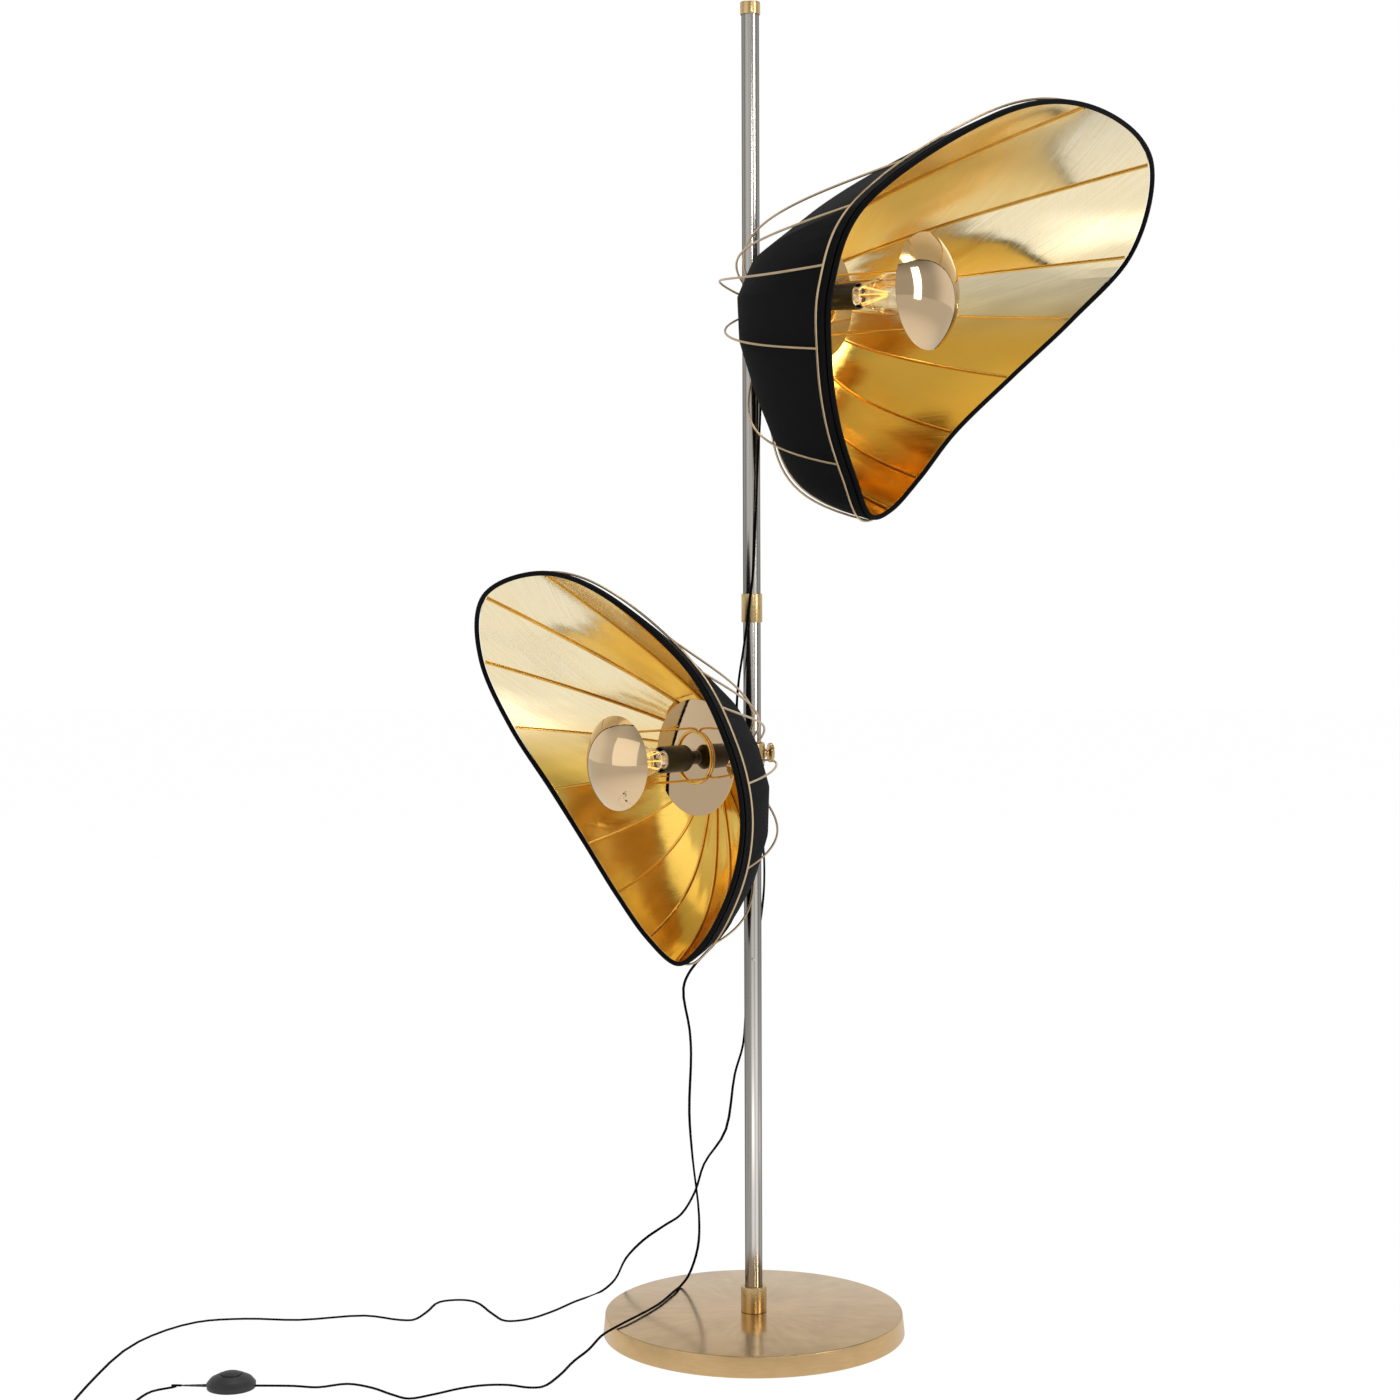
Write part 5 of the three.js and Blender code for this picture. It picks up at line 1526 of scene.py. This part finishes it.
class LAMP_OT_domes(bpy.types.Operator):
    """Mirror dome of each head and the three wires that carry it"""

    bl_idname = "lamp.domes"
    bl_label = "Domes"

    def execute(self, context):
        for side, head in HEADS.items():
            self.one(side, head, fitting_stations(head))
        return {"FINISHED"}

    def one(self, side, head, at):
        radius, start = head["dome_radius"], head["dome"]
        depth = radius * DOME.depth_share
        sphere = (radius ** 2 + depth ** 2) / (2 * depth)
        opening = math.asin(radius / sphere)
        centre = start + depth - sphere
        steps = DOME.steps

        def arc(size):
            angles = [opening * k / steps for k in range(steps + 1)]
            return [(size * math.sin(a), centre + size * math.cos(a)) for a in angles]

        shape = turned([*arc(sphere), *arc(sphere - DOME.wall)[::-1]], 160)
        shape.moved(lambda p: on_pole(head, along_x(p)))
        head_piece(side, "mirror_dome", shape, "dome_mirror", "dome", "spun_mirror")

        wire, bend = DOME_WIRE.radius, DOME_WIRE.bend
        ring_at = at["retainer_front"] + SEAT + wire
        run, ring = head["wire_run"], DOME_WIRE.ring
        hollow = math.sqrt((sphere - DOME.wall) ** 2 - (run + wire) ** 2)
        end = centre + hollow - DOME_WIRE.touch
        stations = [
            (ring_at, ring - wire), (ring_at, (ring + run) / 2), (ring_at + bend / 4, run - wire),
            (ring_at + bend, run), (ring_at + 40, run), (end, run)]
        loop = [(ring_at, *point) for point in circle(ring, STEPS.dome_ring)]
        section = circle(wire, SIDES.dome_wire)
        shape = swept(loop, section, closed=True)
        for k in range(3):
            angle = math.radians(head["wire_turn"]) + FULL_TURN * k / 3
            route = [(h, r * math.sin(angle), r * math.cos(angle)) for h, r in stations]
            shape.add(*tube(resample(route, STEPS.dome_wire), section))
        shape.moved(lambda p: on_pole(head, p))
        head_piece(side, "dome_gold_wires", shape, "gold_wire", "dome_wires", "gold_wire")


# Shades.
# Places between two ribs, places on the flat ring round the hole, and steps from there to the rim,
# which crowd towards the ring. A bend of more than CREASE degrees shows as an edge.
RIB_STATIONS = (0.0, 0.03, 0.14, 0.3, 0.5, 0.7, 0.86, 0.97)
FLAT_STATIONS = (-1.0, -0.5)
RUN_STEPS = 26
RUN_CROWDING = 1.15
CREASE = 7.0


def skin(bowl, front, wall, taut, margin):
    """A closed skin over the whole bowl, with marks at its corners for its finish: the place
    round the bowl in panels, the run from hole to rim in metres, and the share of the height."""
    turns = np.array(
        [(rib + part) / bowl.ribs for rib in range(bowl.ribs) for part in RIB_STATIONS])
    ends = bowl.stop_short(turns, margin)
    crowded = (np.arange(RUN_STEPS + 1) / RUN_STEPS) ** RUN_CROWDING
    shares = np.concatenate([FLAT_STATIONS, crowded])
    along = np.where(shares[None, :] > 0, shares[None, :] * ends[:, None], shares[None, :])
    turn = np.repeat(turns[:, None], len(shares), 1)
    face = bowl.panel(turn, along, front, taut)
    rear = bowl.panel(turn, along, front + wall, taut)
    rows = np.concatenate([face, rear[:, ::-1]], 1)
    run = np.concatenate([along, along[:, ::-1]], 1)
    count, ring = rows.shape[:2]
    faces = wrap(count, ring, closed=True)
    around = []
    for i in range(count):
        low = turns[i] * bowl.ribs
        high = turns[i + 1] * bowl.ribs if i + 1 < count else float(bowl.ribs)
        if (i + 1) % len(RIB_STATIONS) == 0:
            high -= 1e-3  # The last strip before a rib still belongs to its own panel.
        around += [low, low, high, high] * ring
    low_rim, high_rim = bowl.edge[:, 2].min(), bowl.edge[:, 2].max()
    share = (rows[..., 2] - low_rim) / (high_rim - low_rim)
    reach = float(np.linalg.norm(bowl.edge - (BOWL.bottom, 0, 0), axis=1).mean()) * MM
    corners = np.array(faces).ravel()
    marks = {
        "around": around, "along": (run.ravel()[corners] * reach).tolist(),
        "height": share.ravel()[corners].tolist()}
    return Shape().add(rows.reshape(-1, 3), faces), marks


class LAMP_OT_shades(bpy.types.Operator):
    """Gold lining, ribs, black cloth and rim binding of each head"""

    bl_idname = "lamp.shades"
    bl_label = "Shades"

    def execute(self, context):
        for side, head in HEADS.items():
            self.one(side, head)
        return {"FINISHED"}

    def one(self, side, head):
        binding, rib = sizes().binding / MM, sizes().rib_wire / MM
        inner, outer = Bowl(head, head["inner"]), Bowl(head, head["outer"])
        margin = binding + 2 * SEAT

        def settle(points):
            return on_pole(head, points)

        for name, bowl, front, wall, finish_name, node, slot in (
                ("foil_lining", inner, 0.0, BOWL.lining, "gold_foil", "lining", "gold_foil"),
                ("outer_cloth", outer, BOWL.lining + BOWL.gap, BOWL.cloth, "black_cloth",
                 "cloth", "black_cloth")):
            shape, marks = skin(bowl, front, wall, sizes().tautness, margin)
            head_piece(
                side, name, shape.moved(settle), finish_name, node, slot, sharp=CREASE,
                corners=marks)

        shape, section = Shape(), circle(rib, SIDES.rib)
        depth = -(rib + SEAT)
        for k in range(inner.ribs):
            turn = k / inner.ribs
            end = float(inner.stop_short(turn, margin + rib))
            along = np.concatenate([FLAT_STATIONS, end * np.arange(STEPS.rib + 1) / STEPS.rib])
            shape.add(*tube(inner.offset(turn, along, depth), section))
        hole = inner.offset(np.arange(STEPS.hole) / STEPS.hole, -1.0, depth)
        shape.add(*tube(hole, section, closed=True))
        head_piece(side, "gold_ribs", shape.moved(settle), "gold_wire", "ribs", "gold_wire")

        rim = inner.rim(np.arange(STEPS.rim) / STEPS.rim)
        shape = swept(rim, circle(binding, SIDES.binding), closed=True)
        head_piece(
            side, "rim_binding", shape.moved(settle), "bound_cloth", "binding", "black_cloth")


class LAMP_OT_cages(bpy.types.Operator):
    """Brass wire cage round the back of each shade"""

    bl_idname = "lamp.cages"
    bl_label = "Cages"

    def execute(self, context):
        for side, head in HEADS.items():
            self.one(side, head)
        return {"FINISHED"}

    def one(self, side, head):
        wire = sizes().cage_wire / MM
        outer = Bowl(head, head["outer"])
        plane, ring_wall = CAGE.plane, CAGE.ring_wall
        depth = BOWL.lining + BOWL.gap + BOWL.cloth + CAGE.clearance + wire
        turns = np.arange(STEPS.hoop) / STEPS.hoop
        hoop = outer.offset(turns, outer.stop_short(turns, CAGE.set_back), depth)
        shape = swept(hoop, circle(wire, SIDES.hoop), closed=True)
        inner = HUB.boss + SEAT
        rim, back = inner + ring_wall, plane - CAGE.ring_long / 2
        front = back + CAGE.ring_long
        ring = turned([(inner, back), (rim, back, 0.8), (rim, front, 0.8), (inner, front)], 64)
        shape.join(ring.moved(along_x))
        hold = inner + ring_wall / 2
        swell = BOWL.bottom - depth - plane
        share = np.arange(STEPS.stay + 1) / STEPS.stay
        for number, bulge in zip(head["wires"], head["bulges"]):
            lift = depth + swell * smoothstep(share)
            lift = lift + CAGE.bulge * bulge * np.sin(math.pi * share)
            for turn in (number / outer.ribs, 1 - number / outer.ribs):
                end = float(outer.stop_short(turn, CAGE.set_back))
                route = list(outer.offset(turn, end * (1 - share), lift))
                last = route[-1]
                spread = hold / math.hypot(last[1], last[2])
                target = np.array([plane, last[1] * spread, last[2] * spread])
                route += [
                    last + (target - last) * k / STEPS.hook for k in range(1, STEPS.hook + 1)]
                shape.add(*tube(route, circle(wire, SIDES.stay)))
        shape.moved(lambda p: on_pole(head, p))
        head_piece(side, "wire_cage", shape, "cage_wire", "cage", "brass_wire")


class LAMP_OT_kept_parts(bpy.types.Operator):
    """Finishes of the CAD parts that are shown as they are"""

    bl_idname = "lamp.kept_parts"
    bl_label = "Kept parts"

    def execute(self, context):
        for node, name in (
            ("base_weight", "cast_iron"), ("base_pad", "grey_felt"), ("base_bolt", "plain_steel"),
            ("pole_plug", "plain_steel"), ("pole_spigot", "plain_steel"),
        ):
            for slot in frame["nodes"][node].material_slots:
                slot.material = finish(name)
        return {"FINISHED"}


OPERATORS = (
    LAMP_OT_stage, LAMP_OT_leads, LAMP_OT_base, LAMP_OT_pole, LAMP_OT_clamps, LAMP_OT_fittings,
    LAMP_OT_domes, LAMP_OT_shades, LAMP_OT_cages, LAMP_OT_kept_parts,
)


class LAMP_PT_panel(bpy.types.Panel):
    """Sizes, finishes and the pieces in the order they are made"""

    bl_idname = "LAMP_PT_panel"
    bl_label = "Floor lamp"
    bl_space_type = "VIEW_3D"
    bl_region_type = "UI"
    bl_category = "Lamp"

    def draw(self, context):
        for group in (context.scene.lamp_sizes, context.scene.lamp_finishes):
            for key in group.bl_rna.properties.keys():
                if key not in ("name", "rna_type"):
                    self.layout.prop(group, key)
        for operator in OPERATORS:
            self.layout.operator(operator.bl_idname)


CLASSES = (LampSizes, LampFinishes, *OPERATORS, LAMP_PT_panel)


def register():
    for cls in CLASSES:
        bpy.utils.register_class(cls)
    bpy.types.Scene.lamp_sizes = PointerProperty(type=LampSizes)
    bpy.types.Scene.lamp_finishes = PointerProperty(type=LampFinishes)


def unregister():
    del bpy.types.Scene.lamp_finishes
    del bpy.types.Scene.lamp_sizes
    for cls in reversed(CLASSES):
        bpy.utils.unregister_class(cls)


def main():
    register()
    bpy.ops.lamp.stage()
    bpy.ops.lamp.leads()
    bpy.ops.lamp.base()
    bpy.ops.lamp.pole()
    bpy.ops.lamp.clamps()
    bpy.ops.lamp.fittings()
    bpy.ops.lamp.domes()
    bpy.ops.lamp.shades()
    bpy.ops.lamp.cages()
    bpy.ops.lamp.kept_parts()


if __name__ == "__main__":
    main()
